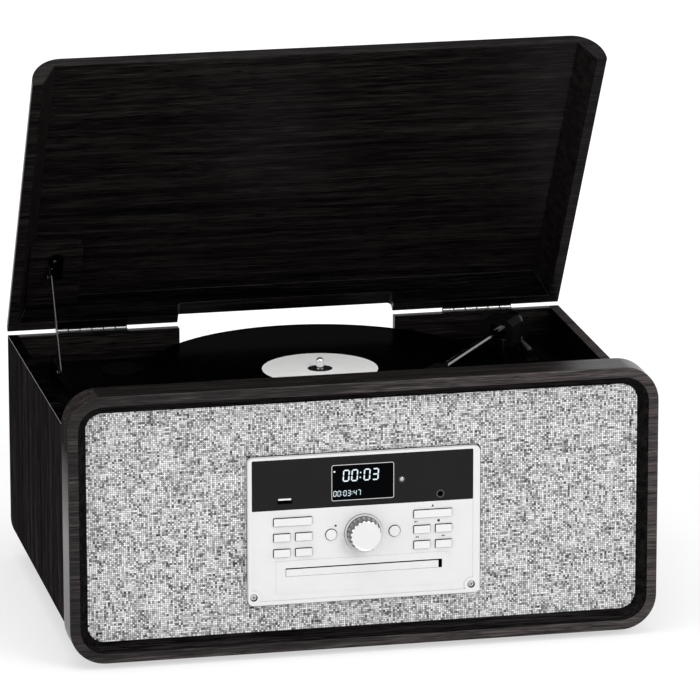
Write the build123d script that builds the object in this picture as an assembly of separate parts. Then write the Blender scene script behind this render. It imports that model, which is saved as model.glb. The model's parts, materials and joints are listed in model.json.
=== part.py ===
from build123d import *
import math
import os

# A stereo music centre: wooden cabinet with a hinged lid over a belt-driven turntable,
# a cloth grille with the control panel in its middle, and a CD drawer.
# While it is modelled, x runs to the right, y away from the listener, z up,
# with x = 0 in the middle, y = 0 on the bezel's front face and z = 0 on its lower edge.
# All lengths are in millimetres, all angles in degrees.

# ---- Cabinet ----
WIDTH = 500.0              # over the front bezel
HEIGHT = 229.0             # of the front bezel
DEPTH = 339.0              # bezel face to the back panel's outer face
WALL = 9.0                 # veneered board
BEZEL_DEPTH = 32.0
BEZEL_RADIUS = 30.0        # outer corners
BEZEL_RIM = 8.7            # flat front face of the bezel
BEVEL = 7.5                # width of the slanted inner face
BEVEL_DEPTH = 9.0
BEZEL_EDGE = 1.2           # softened front edge
BODY_INSET = 2.5           # the body lies this far inside the bezel's outline
LID_HEIGHT = 31.0          # closed lid's top above the walls, with the gap under it
CORNER_STRIP = (12.5, 20.5)  # glued corner strip: width, height
FOOT_HEIGHT = 7.5
FOOT_RADIUS = 12.0
FOOT_INSET = 50.0          # from the bezel's side
FOOT_FRONT = 60.0
FOOT_BACK = 39.0           # from the back panel
SEAT = 0.15                # gap round a board or insert that is dropped in
BATTEN = 12.0              # square battens that carry the deck
TERMINAL_X = 80.0          # terminal plate on the back
TERMINAL_Z = 70.0
TERMINAL_WIDTH = 130.0
TERMINAL_HEIGHT = 48.0
TERMINAL_PLATE = 2.0
TERMINAL_LAP = 9.0         # how far it laps over its cut-out

# ---- Lid, hinges and stay ----
LID_ANGLE = 57.0           # how far the lid stands open
LID_GAP = 1.5              # closed lid's rim above the wall tops, filled by the hinge leaves
LID_FRONT_GAP = 1.2        # closed lid to the bezel
HINGE_BACK = 1.55          # hinge axis behind the back panel's outer face
KNUCKLE_RADIUS = 1.45
KNUCKLES = 6
PIN_RADIUS = 0.7
LEAF = 0.7
HINGE_INSET = 77.0         # middle of a hinge from the bezel's side
HINGE_LENGTH = 62.5
NOTCH_WIDTH = 193.0        # cut-out that the record hangs through
NOTCH_DEPTH = 19.5
LID_NOTCH_HEIGHT = 9.4
LID_NOTCH_RADIUS = 3.5
STAY_INSET = 35.3          # bezel's side to the face of both brackets that the arm lies on
STAY_PLATE = 1.5
STAY_PLATE_WIDTH = 13.0
STAY_PLATE_LENGTH = 24.0   # straight part of the lid's bracket
STAY_ARM_WIDTH = 6.6
STAY_ARM_THICK = 1.0
STAY_STUD = 1.8            # radius of the two studs
STAY_PIVOT_BACK = 67.0     # upper pivot in front of the back, with the lid closed
STAY_PIVOT_RISE = 1.7      # above the walls
STAY_PIN_BACK = 81.0       # lower stud in front of the back, with the lid open
STAY_PIN_RISE = 9.5        # lower stud above the deck
STAY_SLOT_PLAY = 0.45
BLOCK_WIDTH = 46.0         # wooden block under the lid that carries the upper bracket
BLOCK_THICK = 13.0
BLOCK_BACK = 92.0          # its front edge to the back

# ---- Grille ----
CLOTH = 1.0
BAFFLE = 12.0
SPEAKER_X = 160.0
SPEAKER_DROP = 2.5         # below the bezel's middle
SPEAKER_HOLE = 39.0
SPEAKER_FLANGE = 88.0
SPEAKER_DEPTH = 40.0

# ---- Control panel ----
PLATE_WIDTH = 197.4
PLATE_HEIGHT = 127.3
PLATE_X = -0.7
PLATE_DROP = 10.45         # its middle below the bezel's middle
PLATE_Y = 4.0              # front face
PLATE_WALL = 2.5
PLATE_RADIUS = 4.5
RIM_STEP = 0.5             # raised border round the field
FIELD_HEIGHT = 121.8
FIELD_RISE = 0.85          # its middle above the plate's middle
FIELD_BOSS = 6.2           # the border widens round the screws
PLATE_LEDGE = 10.5         # how far the plate laps over the baffle's opening
PANEL_X = -2.1             # middle of the field and the controls
FASCIA_WIDTH = 188.0       # as wide as the field
FASCIA_HEIGHT = 43.7
FASCIA_THICK = 1.2
DISPLAY_WIDTH = 52.7
DISPLAY_HEIGHT = 30.7
DISPLAY_RISE = 38.75       # this and the next rises are above the plate's middle
SENSOR_OFFSET = 33.2       # this and the next offsets are from PANEL_X
SENSOR_RADIUS = 2.6
USB_OFFSET = -66.0
USB_RISE = 25.85
USB_OPENING = (12.6, 5.2)
JACK_OFFSET = 66.0
JACK_RISE = 24.25
JACK_BORE = 1.8
JACK_LENGTH = 14.0
KEY_WIDTH = 13.7
KEY_HEIGHT = 6.5
KEY_GAP = 4.8
KEY_PITCH = 13.4           # rows
KEY_X = 59.5               # middle of each group of keys
CONTROL_DROP = 5.55        # knob and middle row below the plate's middle
KNOB_OFFSET = 0.6
ROUND_KEY_X = 26.9
ROUND_KEY_RADIUS = 4.7
KEY_PROUD = 1.4
KEY_TRAVEL = 0.8
KEY_PLAY = 0.3
KEY_SLIT = 0.5             # gap round a key
KNOB_RADIUS = 14.2
KNOB_NOSE_RADIUS = 13.2
KNOB_LENGTH = 12.0
KNOB_FLUTES = 20
FLUTE_RADIUS = 1.6
FLUTE_DEPTH = 0.9
KNOB_RING = 16.2
SHAFT_RADIUS = 3.0
RUNNING = 0.05             # radial clearance of running fits
BOARD = 1.6                # circuit boards
BOARD_Y = 14.0
BOARD_WIDTH = 170.0
BOARD_DROP = 22.05         # lower edge below the plate's middle
BOARD_RISE = 55.95         # top edge above the plate's middle
BOSS_X = 80.0              # bosses that the board is held on
SWITCH_HEIGHT = 4.0        # key switches on the board
SCREW_OFFSET = 92.6
SCREW_RISE = 7.4           # above the plate's lower edge
SCREW_RADIUS = 2.9
SCREW_SHANK = 1.45
SCREW_LENGTH = 14.0
TRAY_WIDTH = 129.8         # drawer front
TRAY_HEIGHT = 6.2
TRAY_OFFSET = -0.4
TRAY_DROP = 36.45          # below the plate's middle
TRAY_EDGE = 1.5            # the drawer's body is this much narrower on each side
TRAY_SLOT = (133.2, 7.4)
SLOT_OFFSET = 0.95
SLOT_DROP = 36.05
TRAY_FIELD = (147.4, 28.0)  # faintly raised field round the drawer
TRAY_FIELD_DROP = 40.05
TRAY_FIELD_STEP = 0.25
TRAY_DEPTH = 160.0
TRAY_PLATE = 3.0
DISC_RECESS = 60.6
DISC_HUB = 18.0            # hole for the clamp
DISC_WINDOW = (24.0, 60.0)  # slot for the laser
DRIVE_WIDTH = 146.0
DRIVE_HEIGHT = 30.0
DRIVE_DEPTH = 172.0
DRIVE_EAR = 24.0           # ears that it is screwed to the baffle by

# ---- Turntable ----
DECK_DROP = 24.0           # deck below the wall tops
DECK = 3.0
SPINDLE_X = 4.0
SPINDLE_BACK = 130.4       # in front of the back panel's outer face
WELL_RADIUS = 114.0
WELL_DEPTH = 5.0
PLATTER_RADIUS = 110.0
PLATTER_LIFT = 2.5         # rim above the deck
PLATTER_HEIGHT = 7.5
PLATTER_SKIN = 3.0
MAT = 2.2
MAT_RADIUS = 108.0
RECORD = 1.8
RECORD_RADIUS = 150.8
LABEL_RADIUS = 50.0
SPINDLE_RADIUS = 3.6
SPINDLE_RISE = 9.6         # above the record
SPINDLE_RELIEF = 0.3       # the nose above the record is this much thinner
JOURNAL = 3.0              # radius of the spindle in its bush
BELT_RING = 60.0           # drum under the platter that the belt runs on
DRUM_RECESS = 3.5
PULLEY_RADIUS = 5.5
BELT = 0.8
BELT_HEIGHT = 4.0
BELT_PLAY = 0.15
MOTOR_DISTANCE = 78.0
MOTOR_BEARING_ANGLE = 150.0
MOTOR_RADIUS = 17.0
MOTOR_HEIGHT = 24.0
BEARING_RADIUS = 5.5
BEARING_LENGTH = 18.0

# ---- Tonearm ----
PIVOT_OFFSET = (173.4, 53.4)  # from the spindle
ARM_ANGLE = 34.3           # swung in over the record, from straight forward
ARM_LENGTH = 196.0         # pivot to stylus
ARM_RISE = 11.5            # tube's axis above the record
ARM_TUBE = 3.1
STYLUS_RISE = 3.0          # raised stylus above the record
ARM_BASE_LENGTH = 56.0
ARM_BASE_MARGIN = 4.0      # base plate past the lever
ARM_BASE_SHIFT = 5.0
ARM_BASE_RADIUS = 8.0
COLLAR_RADIUS = 13.0       # under the turret
TURRET_WIDTH = 31.0
TURRET_LENGTH = 24.0
TURRET_SHIFT = 1.5         # its block stands to the left of the tube's axis
TURRET_GAP = 4.0           # its rear face before the counterweight
TURRET_RISE = 11.0         # its top above the tube's axis
TURRET_WINDOW = 6.5        # opening for the tube above the tube's axis
TURRET_SHAFT = 4.0
HUB_WIDTH = 13.0
HUB_LENGTH = 14.0
HUB_HEIGHT = 10.0
SHELL_LENGTH = 46.0        # headshell, from the stylus to the end of the tube
SHELL_WIDTH = 16.0
WEIGHT_Y = 17.0            # counterweight's front face behind the pivot
WEIGHT_LENGTH = 12.0
WEIGHT_RADIUS = 9.5
LIFT_RADIUS = 21.5
LIFT_TRAVEL = 4.0
LIFT_POST = 2.0
LIFT_GAP = 0.45            # raised lift bar to the level arm
LEVER_OFFSET = (20.6, 17.0)  # from the arm's pivot
LEVER_WIDTH = 4.0
LEVER_RISE = 9.5           # lever's axis above the deck
LEVER_BOSS = 3.5
LEVER_LENGTH = 36.0
REST_DISTANCE = 128.0
ADAPTER_INSET = 95.0       # from the bezel's side
ADAPTER_BACK = 81.4        # behind the spindle
ADAPTER_RADIUS = 19.0
SWITCH_INSET = 37.0        # from the bezel's side
SWITCH_Y = 140.0
SWITCH_STEP = 5.0          # between its three speeds

# ---- Electronics ----
MAIN_BOARD = (190.0, 110.0)  # width and depth
MAIN_BOARD_X = -75.0
MAIN_BOARD_BACK = 29.0     # its rear edge in front of the back
BOARD_POST = 6.0
TRANSFORMER = (54.0, 50.0, 44.0)
TRANSFORMER_INSET = (12.0, 30.0)  # from the board's left and rear edges
CAPACITOR_RADIUS = 9.0
CAPACITOR_INSET = 22.0     # from the board's rear edge
CAPACITOR_HEIGHT = 30.0
CAPACITOR_PITCH = 22.0
HEAT_SINK = (52.0, 18.0, 34.0)
SINK_FINS = 6
SINK_PLATE = 4.0
SINK_FIN = 2.0
INLET = (22.0, 12.0)       # mains socket
INLET_OFFSET = 31.0        # from the terminal plate's middle
LINE_OFFSET = -39.0
LINE_PITCH = 16.0
LINE_RADIUS = 4.15         # barrel of a line output
LINE_BORE = 1.6
AERIAL_OFFSET = 2.0
AERIAL_RADIUS = 4.75
AERIAL_BORE = 1.0
SOCKET_DEPTH = 6.0         # how far the sockets reach in from the back panel

# ---- Places worked out from the sizes ----
WALL_TOP = HEIGHT - BODY_INSET - LID_HEIGHT
NOTCH_BOTTOM = WALL_TOP - NOTCH_DEPTH
DECK_TOP = WALL_TOP - DECK_DROP
FOOT_X = WIDTH / 2 - FOOT_INSET
FOOT_REAR = DEPTH - FOOT_BACK
HINGE_X = WIDTH / 2 - HINGE_INSET
STAY_X = STAY_INSET - WIDTH / 2
STAY_PIVOT_Y = DEPTH - STAY_PIVOT_BACK
STAY_PIVOT_Z = WALL_TOP + STAY_PIVOT_RISE
STAY_PIN_Y = DEPTH - STAY_PIN_BACK
BLOCK_FRONT = DEPTH - BLOCK_BACK
SPEAKER_Z = HEIGHT / 2 - SPEAKER_DROP
PLATE_Z = HEIGHT / 2 - PLATE_DROP
FIELD_Z = PLATE_Z + FIELD_RISE
FASCIA_Z = FIELD_Z + (FIELD_HEIGHT - FASCIA_HEIGHT) / 2
DISPLAY_Z = PLATE_Z + DISPLAY_RISE
SENSOR_X = PANEL_X + SENSOR_OFFSET
USB_X = PANEL_X + USB_OFFSET
USB_Z = PLATE_Z + USB_RISE
JACK_X = PANEL_X + JACK_OFFSET
JACK_Z = PLATE_Z + JACK_RISE
CONTROL_Z = PLATE_Z - CONTROL_DROP
KNOB_X = PANEL_X + KNOB_OFFSET
BOARD_BOTTOM = PLATE_Z - BOARD_DROP
BOARD_TOP = PLATE_Z + BOARD_RISE
TRAY_X = PANEL_X + TRAY_OFFSET
TRAY_Z = PLATE_Z - TRAY_DROP
SLOT_X = PANEL_X + SLOT_OFFSET
TRAY_SLOT_Z = PLATE_Z - SLOT_DROP
TRAY_FIELD_Z = PLATE_Z - TRAY_FIELD_DROP
SPINDLE_Y = DEPTH - SPINDLE_BACK
PIVOT_X = SPINDLE_X + PIVOT_OFFSET[0]
PIVOT_Y = SPINDLE_Y + PIVOT_OFFSET[1]
LEVER_X = PIVOT_X + LEVER_OFFSET[0]
LEVER_Y = PIVOT_Y + LEVER_OFFSET[1]
ADAPTER_X = ADAPTER_INSET - WIDTH / 2
ADAPTER_Y = SPINDLE_Y + ADAPTER_BACK
SWITCH_X = WIDTH / 2 - SWITCH_INSET
BODY_WIDTH = WIDTH - 2 * BODY_INSET
BODY_BOTTOM = BODY_INSET
BODY_TOP = HEIGHT - BODY_INSET
INNER_X = BODY_WIDTH / 2 - WALL
INNER_BOTTOM = BODY_BOTTOM + WALL
LID_RIM = WALL_TOP + LID_GAP
LID_INNER = BODY_TOP - WALL
HINGE_Y = DEPTH + HINGE_BACK
HINGE_Z = WALL_TOP + LID_GAP / 2
BACK_INNER = DEPTH - WALL
OPENING_WIDTH = WIDTH - 2 * (BEZEL_RIM + BEVEL)
OPENING_HEIGHT = HEIGHT - 2 * (BEZEL_RIM + BEVEL)
CLOTH_Y = BEVEL_DEPTH
BAFFLE_Y = CLOTH_Y + CLOTH
BAFFLE_BACK = BAFFLE_Y + BAFFLE
PLATE_BACK = PLATE_Y + PLATE_WALL
WELL_FLOOR = DECK_TOP - WELL_DEPTH
PLATTER_BOTTOM = DECK_TOP + PLATTER_LIFT
PLATTER_TOP = PLATTER_BOTTOM + PLATTER_HEIGHT
MAT_TOP = PLATTER_TOP + MAT
RECORD_TOP = MAT_TOP + RECORD
BELT_Z = PLATTER_TOP - PLATTER_SKIN - BELT_HEIGHT - 1.0
ARM_Z = RECORD_TOP + ARM_RISE
MOTOR_X = SPINDLE_X + MOTOR_DISTANCE * math.cos(math.radians(MOTOR_BEARING_ANGLE))
MOTOR_Y = SPINDLE_Y + MOTOR_DISTANCE * math.sin(math.radians(MOTOR_BEARING_ANGLE))
STAY_PIN_Z = DECK_TOP + STAY_PIN_RISE
KEY_CAP_Y = PLATE_Y - KEY_PROUD

parts = {}


# ---- Shaping helpers ----
def block(x0, x1, y0, y1, z0, z1):
    """Box between two corners."""
    middle = Pos((x0 + x1) / 2, (y0 + y1) / 2, (z0 + z1) / 2)
    return middle * Box(x1 - x0, y1 - y0, z1 - z0)


def along_x(sketch, x0, x1):
    """Extrude an outline drawn as (y, z) from x0 to x1."""
    return Pos(x0, 0, 0) * extrude(Plane.YZ * sketch, x1 - x0)


def along_y(sketch, y0, y1):
    """Extrude an outline drawn as (x, z) from y0 to y1."""
    return Pos(0, y1, 0) * extrude(Plane.XZ * sketch, y1 - y0)


def along_z(sketch, z0, z1):
    """Extrude an outline drawn as (x, y) from z0 to z1."""
    return Pos(0, 0, z0) * extrude(sketch, z1 - z0)


def outline(*points):
    """Closed straight-sided outline, taken anticlockwise so that it extrudes forwards."""
    pairs = zip(points, points[1:] + points[:1])
    area = sum(a[0] * b[1] - b[0] * a[1] for a, b in pairs)
    return Polygon(*(points if area > 0 else points[::-1]), align=None)


def panel(u, v, width, height, radius=0.0):
    """Rectangle centred on (u, v), with rounded corners if a radius is given."""
    if radius:
        return Pos(u, v) * RectangleRounded(width, height, radius)
    return Pos(u, v) * Rectangle(width, height)


def disc(u, v, radius):
    """Round outline centred on (u, v)."""
    return Pos(u, v) * Circle(radius)


def turned_z(x, y, *points):
    """Turn an outline of (radius, z) points about a vertical axis."""
    return Pos(x, y, 0) * revolve(Plane.XZ * outline(*points), Axis.Z)


def turned_y(x, z, *points):
    """Turn an outline of (radius, y) points about an axis that runs front to back."""
    return Pos(x, 0, z) * revolve(outline(*points), Axis.Y)


# ---- Cabinet ----
def tube_outside():
    """Outline of the folded tube that body and lid are cut from."""
    height = BODY_TOP - BODY_BOTTOM
    return panel(0, BODY_BOTTOM + height / 2, BODY_WIDTH, height, BEZEL_RADIUS - BODY_INSET)


def tube_inside():
    """Hollow of the tube, slanted where the corner strips are glued in."""
    strip, rise = CORNER_STRIP
    x, low, high = INNER_X, INNER_BOTTOM, LID_INNER
    half = [(x, high - rise), (x - strip, high), (strip - x, high), (-x, high - rise)]
    return outline(*half, (-x, low + rise), (strip - x, low), (x - strip, low), (x, low + rise))


def cabinet():
    ring = tube_outside() - tube_inside()
    below = panel(0, WALL_TOP - HEIGHT, 2 * WIDTH, 2 * HEIGHT)
    shell = along_y(ring & below, BEZEL_DEPTH, DEPTH)
    for side in (-1, 1):
        x = sorted((side * INNER_X, side * (INNER_X - BATTEN)))
        z = DECK_TOP - DECK
        shell += block(*x, BEZEL_DEPTH + WALL, BACK_INNER - WALL, z - BATTEN, z)
    parts["cabinet_shell"] = shell

    fill = tube_inside() & below
    fill -= panel(0, NOTCH_BOTTOM + HEIGHT / 2, NOTCH_WIDTH, HEIGHT)
    fill -= panel(TERMINAL_X, TERMINAL_Z, TERMINAL_WIDTH - 2 * TERMINAL_LAP, TERMINAL_HEIGHT - 2 * TERMINAL_LAP)
    parts["back_panel"] = along_y(fill, BACK_INNER, DEPTH)

    feet = [(x, y) for x in (-FOOT_X, FOOT_X) for y in (FOOT_FRONT, FOOT_REAR)]
    top = BODY_BOTTOM
    foot_outline = ((0, top - FOOT_HEIGHT), (FOOT_RADIUS - 1.5, top - FOOT_HEIGHT),
                    (FOOT_RADIUS, top - FOOT_HEIGHT + 1.5), (FOOT_RADIUS, top), (0, top))
    parts["rubber_feet"] = Compound([turned_z(x, y, *foot_outline) for x, y in feet])


def screw_places():
    """Both screws in the lower corners of the control panel."""
    z = PLATE_Z - PLATE_HEIGHT / 2 + SCREW_RISE
    return [(PANEL_X + side * SCREW_OFFSET, z) for side in (-1, 1)]


def front():
    """Bevelled bezel, baffle board and the cloth stretched over it."""
    middle = HEIGHT / 2
    inner_radius = BEZEL_RADIUS - BEZEL_RIM - BEVEL
    ring = along_y(panel(0, middle, WIDTH, HEIGHT, BEZEL_RADIUS), 0, BEZEL_DEPTH)
    ring = fillet(ring.faces().sort_by(Axis.Y)[0].edges(), BEZEL_EDGE)
    ring -= along_y(panel(0, middle, OPENING_WIDTH, OPENING_HEIGHT, inner_radius), 0, BEZEL_DEPTH)
    wide = panel(0, middle, OPENING_WIDTH + 2 * BEVEL, OPENING_HEIGHT + 2 * BEVEL, inner_radius + BEVEL)
    narrow = panel(0, middle, OPENING_WIDTH, OPENING_HEIGHT, inner_radius)
    bevel = loft([Plane.XZ * wide, Plane.XZ.offset(-BEVEL_DEPTH) * narrow])
    parts["front_bezel"] = ring - bevel

    width = OPENING_WIDTH - 2 * SEAT
    height = OPENING_HEIGHT - 2 * SEAT
    board = panel(0, middle, width, height, inner_radius)
    control_hole = panel(PLATE_X, PLATE_Z, PLATE_WIDTH - 2 * PLATE_LEDGE, PLATE_HEIGHT - PLATE_LEDGE)
    for x, z in screw_places():
        control_hole += disc(x, z, SCREW_SHANK)
    parts["grille_cloth"] = along_y(board - control_hole, CLOTH_Y, BAFFLE_Y)
    for x in (-SPEAKER_X, SPEAKER_X):
        board -= disc(x, SPEAKER_Z, SPEAKER_HOLE)
    parts["speaker_baffle"] = along_y(board - control_hole, BAFFLE_Y, BAFFLE_BACK)


# ---- Lid, hinges and stay ----
def opened(shape):
    """Swing a piece that is drawn with the lid closed to the lid's standing angle."""
    return Pos(0, HINGE_Y, HINGE_Z) * Rot(-LID_ANGLE, 0, 0) * Pos(0, -HINGE_Y, -HINGE_Z) * shape


def lid():
    front_y = BEZEL_DEPTH + LID_FRONT_GAP
    above = panel(0, LID_RIM + HEIGHT, 2 * WIDTH, 2 * HEIGHT)
    cover = along_y((tube_outside() - tube_inside()) & above, front_y, DEPTH)
    strip, rise = CORNER_STRIP
    rear = outline((DEPTH, LID_RIM), (BACK_INNER, LID_RIM), (BACK_INNER - strip, LID_INNER), (DEPTH, LID_INNER))
    cover += along_x(rear, -WIDTH, WIDTH) & along_y(tube_outside(), 0, DEPTH)
    cut = panel(0, LID_RIM, NOTCH_WIDTH, 2 * LID_NOTCH_HEIGHT, LID_NOTCH_RADIUS)
    cover -= along_y(cut, BACK_INNER - strip - WALL, DEPTH)
    block_right = STAY_X + STAY_PLATE_WIDTH + BLOCK_WIDTH / 3
    block_left = block_right - BLOCK_WIDTH
    block_bottom = LID_INNER - BLOCK_THICK
    cover += block(block_left, block_right, BLOCK_FRONT, BACK_INNER - strip, block_bottom, LID_INNER)
    parts["lid"] = opened(cover)

    plate_x0 = STAY_X - STAY_PLATE
    plate_x1 = plate_x0 + STAY_PLATE_WIDTH
    nose = BLOCK_FRONT + 4 + STAY_PLATE_WIDTH / 2
    plate_middle = nose + STAY_PLATE_LENGTH / 2
    plate = panel((plate_x0 + plate_x1) / 2, plate_middle, STAY_PLATE_WIDTH, STAY_PLATE_LENGTH)
    plate += disc((plate_x0 + plate_x1) / 2, nose, STAY_PLATE_WIDTH / 2)
    bracket = along_z(plate, block_bottom - STAY_PLATE, block_bottom)
    ear = outline((STAY_PIVOT_Y - 9, block_bottom), (STAY_PIVOT_Y + 9, block_bottom),
                  (STAY_PIVOT_Y + 5, STAY_PIVOT_Z - 5), (STAY_PIVOT_Y - 5, STAY_PIVOT_Z - 5))
    ear -= disc(STAY_PIVOT_Y, STAY_PIVOT_Z, STAY_STUD + RUNNING)
    bracket += along_x(ear, plate_x0, STAY_X)
    parts["stay_lid_bracket"] = opened(bracket)


def stay_geometry():
    """Upper pivot with the lid open, and the arm's length and slope there."""
    angle = math.radians(LID_ANGLE)
    dy, dz = STAY_PIVOT_Y - HINGE_Y, STAY_PIVOT_Z - HINGE_Z
    y = HINGE_Y + dy * math.cos(angle) + dz * math.sin(angle)
    z = HINGE_Z - dy * math.sin(angle) + dz * math.cos(angle)
    length = math.hypot(y - STAY_PIN_Y, z - STAY_PIN_Z)
    return y, z, length, math.asin((z - STAY_PIN_Z) / length)


def stay_closed():
    """Lower stud's y and the arm's slope with the lid closed."""
    length = stay_geometry()[2]
    slope = math.asin((STAY_PIVOT_Z - STAY_PIN_Z) / length)
    return STAY_PIVOT_Y - length * math.cos(slope), slope


def stay():
    y, z, length, slope = stay_geometry()
    bar = SlotCenterToCenter(length, STAY_ARM_WIDTH)
    bar = Pos((y + STAY_PIN_Y) / 2, (z + STAY_PIN_Z) / 2) * Rot(0, 0, math.degrees(slope)) * bar
    gap = 2 * SEAT
    arm = along_x(bar, STAY_X + gap, STAY_X + gap + STAY_ARM_THICK)
    back = STAY_X - STAY_PLATE - gap
    for stud_y, stud_z in ((y, z), (STAY_PIN_Y, STAY_PIN_Z)):
        arm += along_x(disc(stud_y, stud_z, STAY_STUD), back, STAY_X + gap)
        arm += along_x(disc(stud_y, stud_z, STAY_STUD + 1), back - 1, back)
    parts["stay_arm"] = arm

    closed_y = stay_closed()[0]
    margin = 3 * STAY_STUD
    front_y, rear_y = closed_y - margin, BACK_INNER - 2 * WALL
    left = STAY_X - STAY_PLATE
    foot = block(left, left + STAY_PLATE_WIDTH, front_y, rear_y, DECK_TOP, DECK_TOP + STAY_PLATE)
    top = STAY_PIN_Z + STAY_STUD + STAY_SLOT_PLAY + 2
    wall = outline((front_y, DECK_TOP), (rear_y, DECK_TOP), (rear_y - 20, top), (front_y, top))
    travel = STAY_PIN_Y - closed_y + 2 * STAY_SLOT_PLAY
    slot = SlotCenterToCenter(travel, 2 * (STAY_STUD + STAY_SLOT_PLAY))
    wall -= Pos((STAY_PIN_Y + closed_y) / 2, STAY_PIN_Z) * slot
    parts["stay_track"] = foot + along_x(wall, left, STAY_X)


def hinges():
    """Two pinned butt hinges. Odd knuckles belong to the cabinet's leaf, even ones to the lid's."""
    step = HINGE_LENGTH / KNUCKLES
    play = 0.1
    edge = HINGE_Y - KNUCKLE_RADIUS - SEAT
    leaf_front = BACK_INNER + 1
    cabinet_leaves, lid_leaves = [], []
    for middle in (-HINGE_X, HINGE_X):
        x0 = middle - HINGE_LENGTH / 2
        x1 = x0 + HINGE_LENGTH
        fixed = block(x0, x1, leaf_front, edge, WALL_TOP, WALL_TOP + LEAF)
        swung = block(x0, x1, leaf_front, edge, LID_RIM - LEAF, LID_RIM)
        swung += along_x(disc(HINGE_Y, HINGE_Z, PIN_RADIUS), x0, x1)
        for n in range(KNUCKLES):
            a, b = x0 + n * step + play, x0 + (n + 1) * step - play
            knuckle = along_x(disc(HINGE_Y, HINGE_Z, KNUCKLE_RADIUS), a, b)
            if n % 2 == 0:
                fixed += knuckle + block(a, b, edge, HINGE_Y, WALL_TOP, WALL_TOP + LEAF)
            else:
                swung += knuckle + block(a, b, edge, HINGE_Y, LID_RIM - LEAF, LID_RIM)
        fixed -= along_x(disc(HINGE_Y, HINGE_Z, PIN_RADIUS + RUNNING), x0 - 1, x1 + 1)
        cabinet_leaves.append(fixed)
        lid_leaves.append(opened(swung))
    parts["hinge_cabinet_leaves"] = Compound(cabinet_leaves)
    parts["hinge_lid_leaves"] = Compound(lid_leaves)


# ---- Control panel ----
def key_places():
    """Name, x, z and width of each oblong key."""
    wide = 2 * KEY_WIDTH + KEY_GAP
    offset = (KEY_WIDTH + KEY_GAP) / 2
    places = []
    for side, top in ((-1, "key_power"), (1, "key_mode")):
        x = PANEL_X + side * KEY_X
        places.append((top, x, CONTROL_Z + KEY_PITCH, wide))
        label = "left" if side < 0 else "right"
        for n in range(4):
            across = x + (-offset if n % 2 == 0 else offset)
            down = CONTROL_Z - KEY_PITCH * (n // 2)
            places.append((f"key_{label}_{n + 1}", across, down, KEY_WIDTH))
    return places


def keys():
    flange = 1.0
    flange_y = PLATE_BACK + KEY_PLAY
    stem_y = BOARD_Y - SWITCH_HEIGHT - KEY_TRAVEL - KEY_PLAY
    for name, x, z, width in key_places():
        cap = along_y(panel(x, z, width, KEY_HEIGHT, 0.6), KEY_CAP_Y, flange_y)
        cap += along_y(panel(x, z, width + 2 * flange, KEY_HEIGHT + 2 * flange), flange_y, flange_y + flange)
        parts[name] = cap + along_y(disc(x, z, 1.6), flange_y + flange, stem_y)
    for name, x in (("round_key_left", PANEL_X - ROUND_KEY_X), ("round_key_right", PANEL_X + ROUND_KEY_X)):
        r = ROUND_KEY_RADIUS
        parts[name] = turned_y(x, CONTROL_Z, (0, KEY_CAP_Y), (r - 0.5, KEY_CAP_Y), (r, KEY_CAP_Y + 0.5),
                               (r, flange_y), (r + flange, flange_y), (r + flange, flange_y + flange),
                               (1.6, flange_y + flange), (1.6, stem_y), (0, stem_y))


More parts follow.
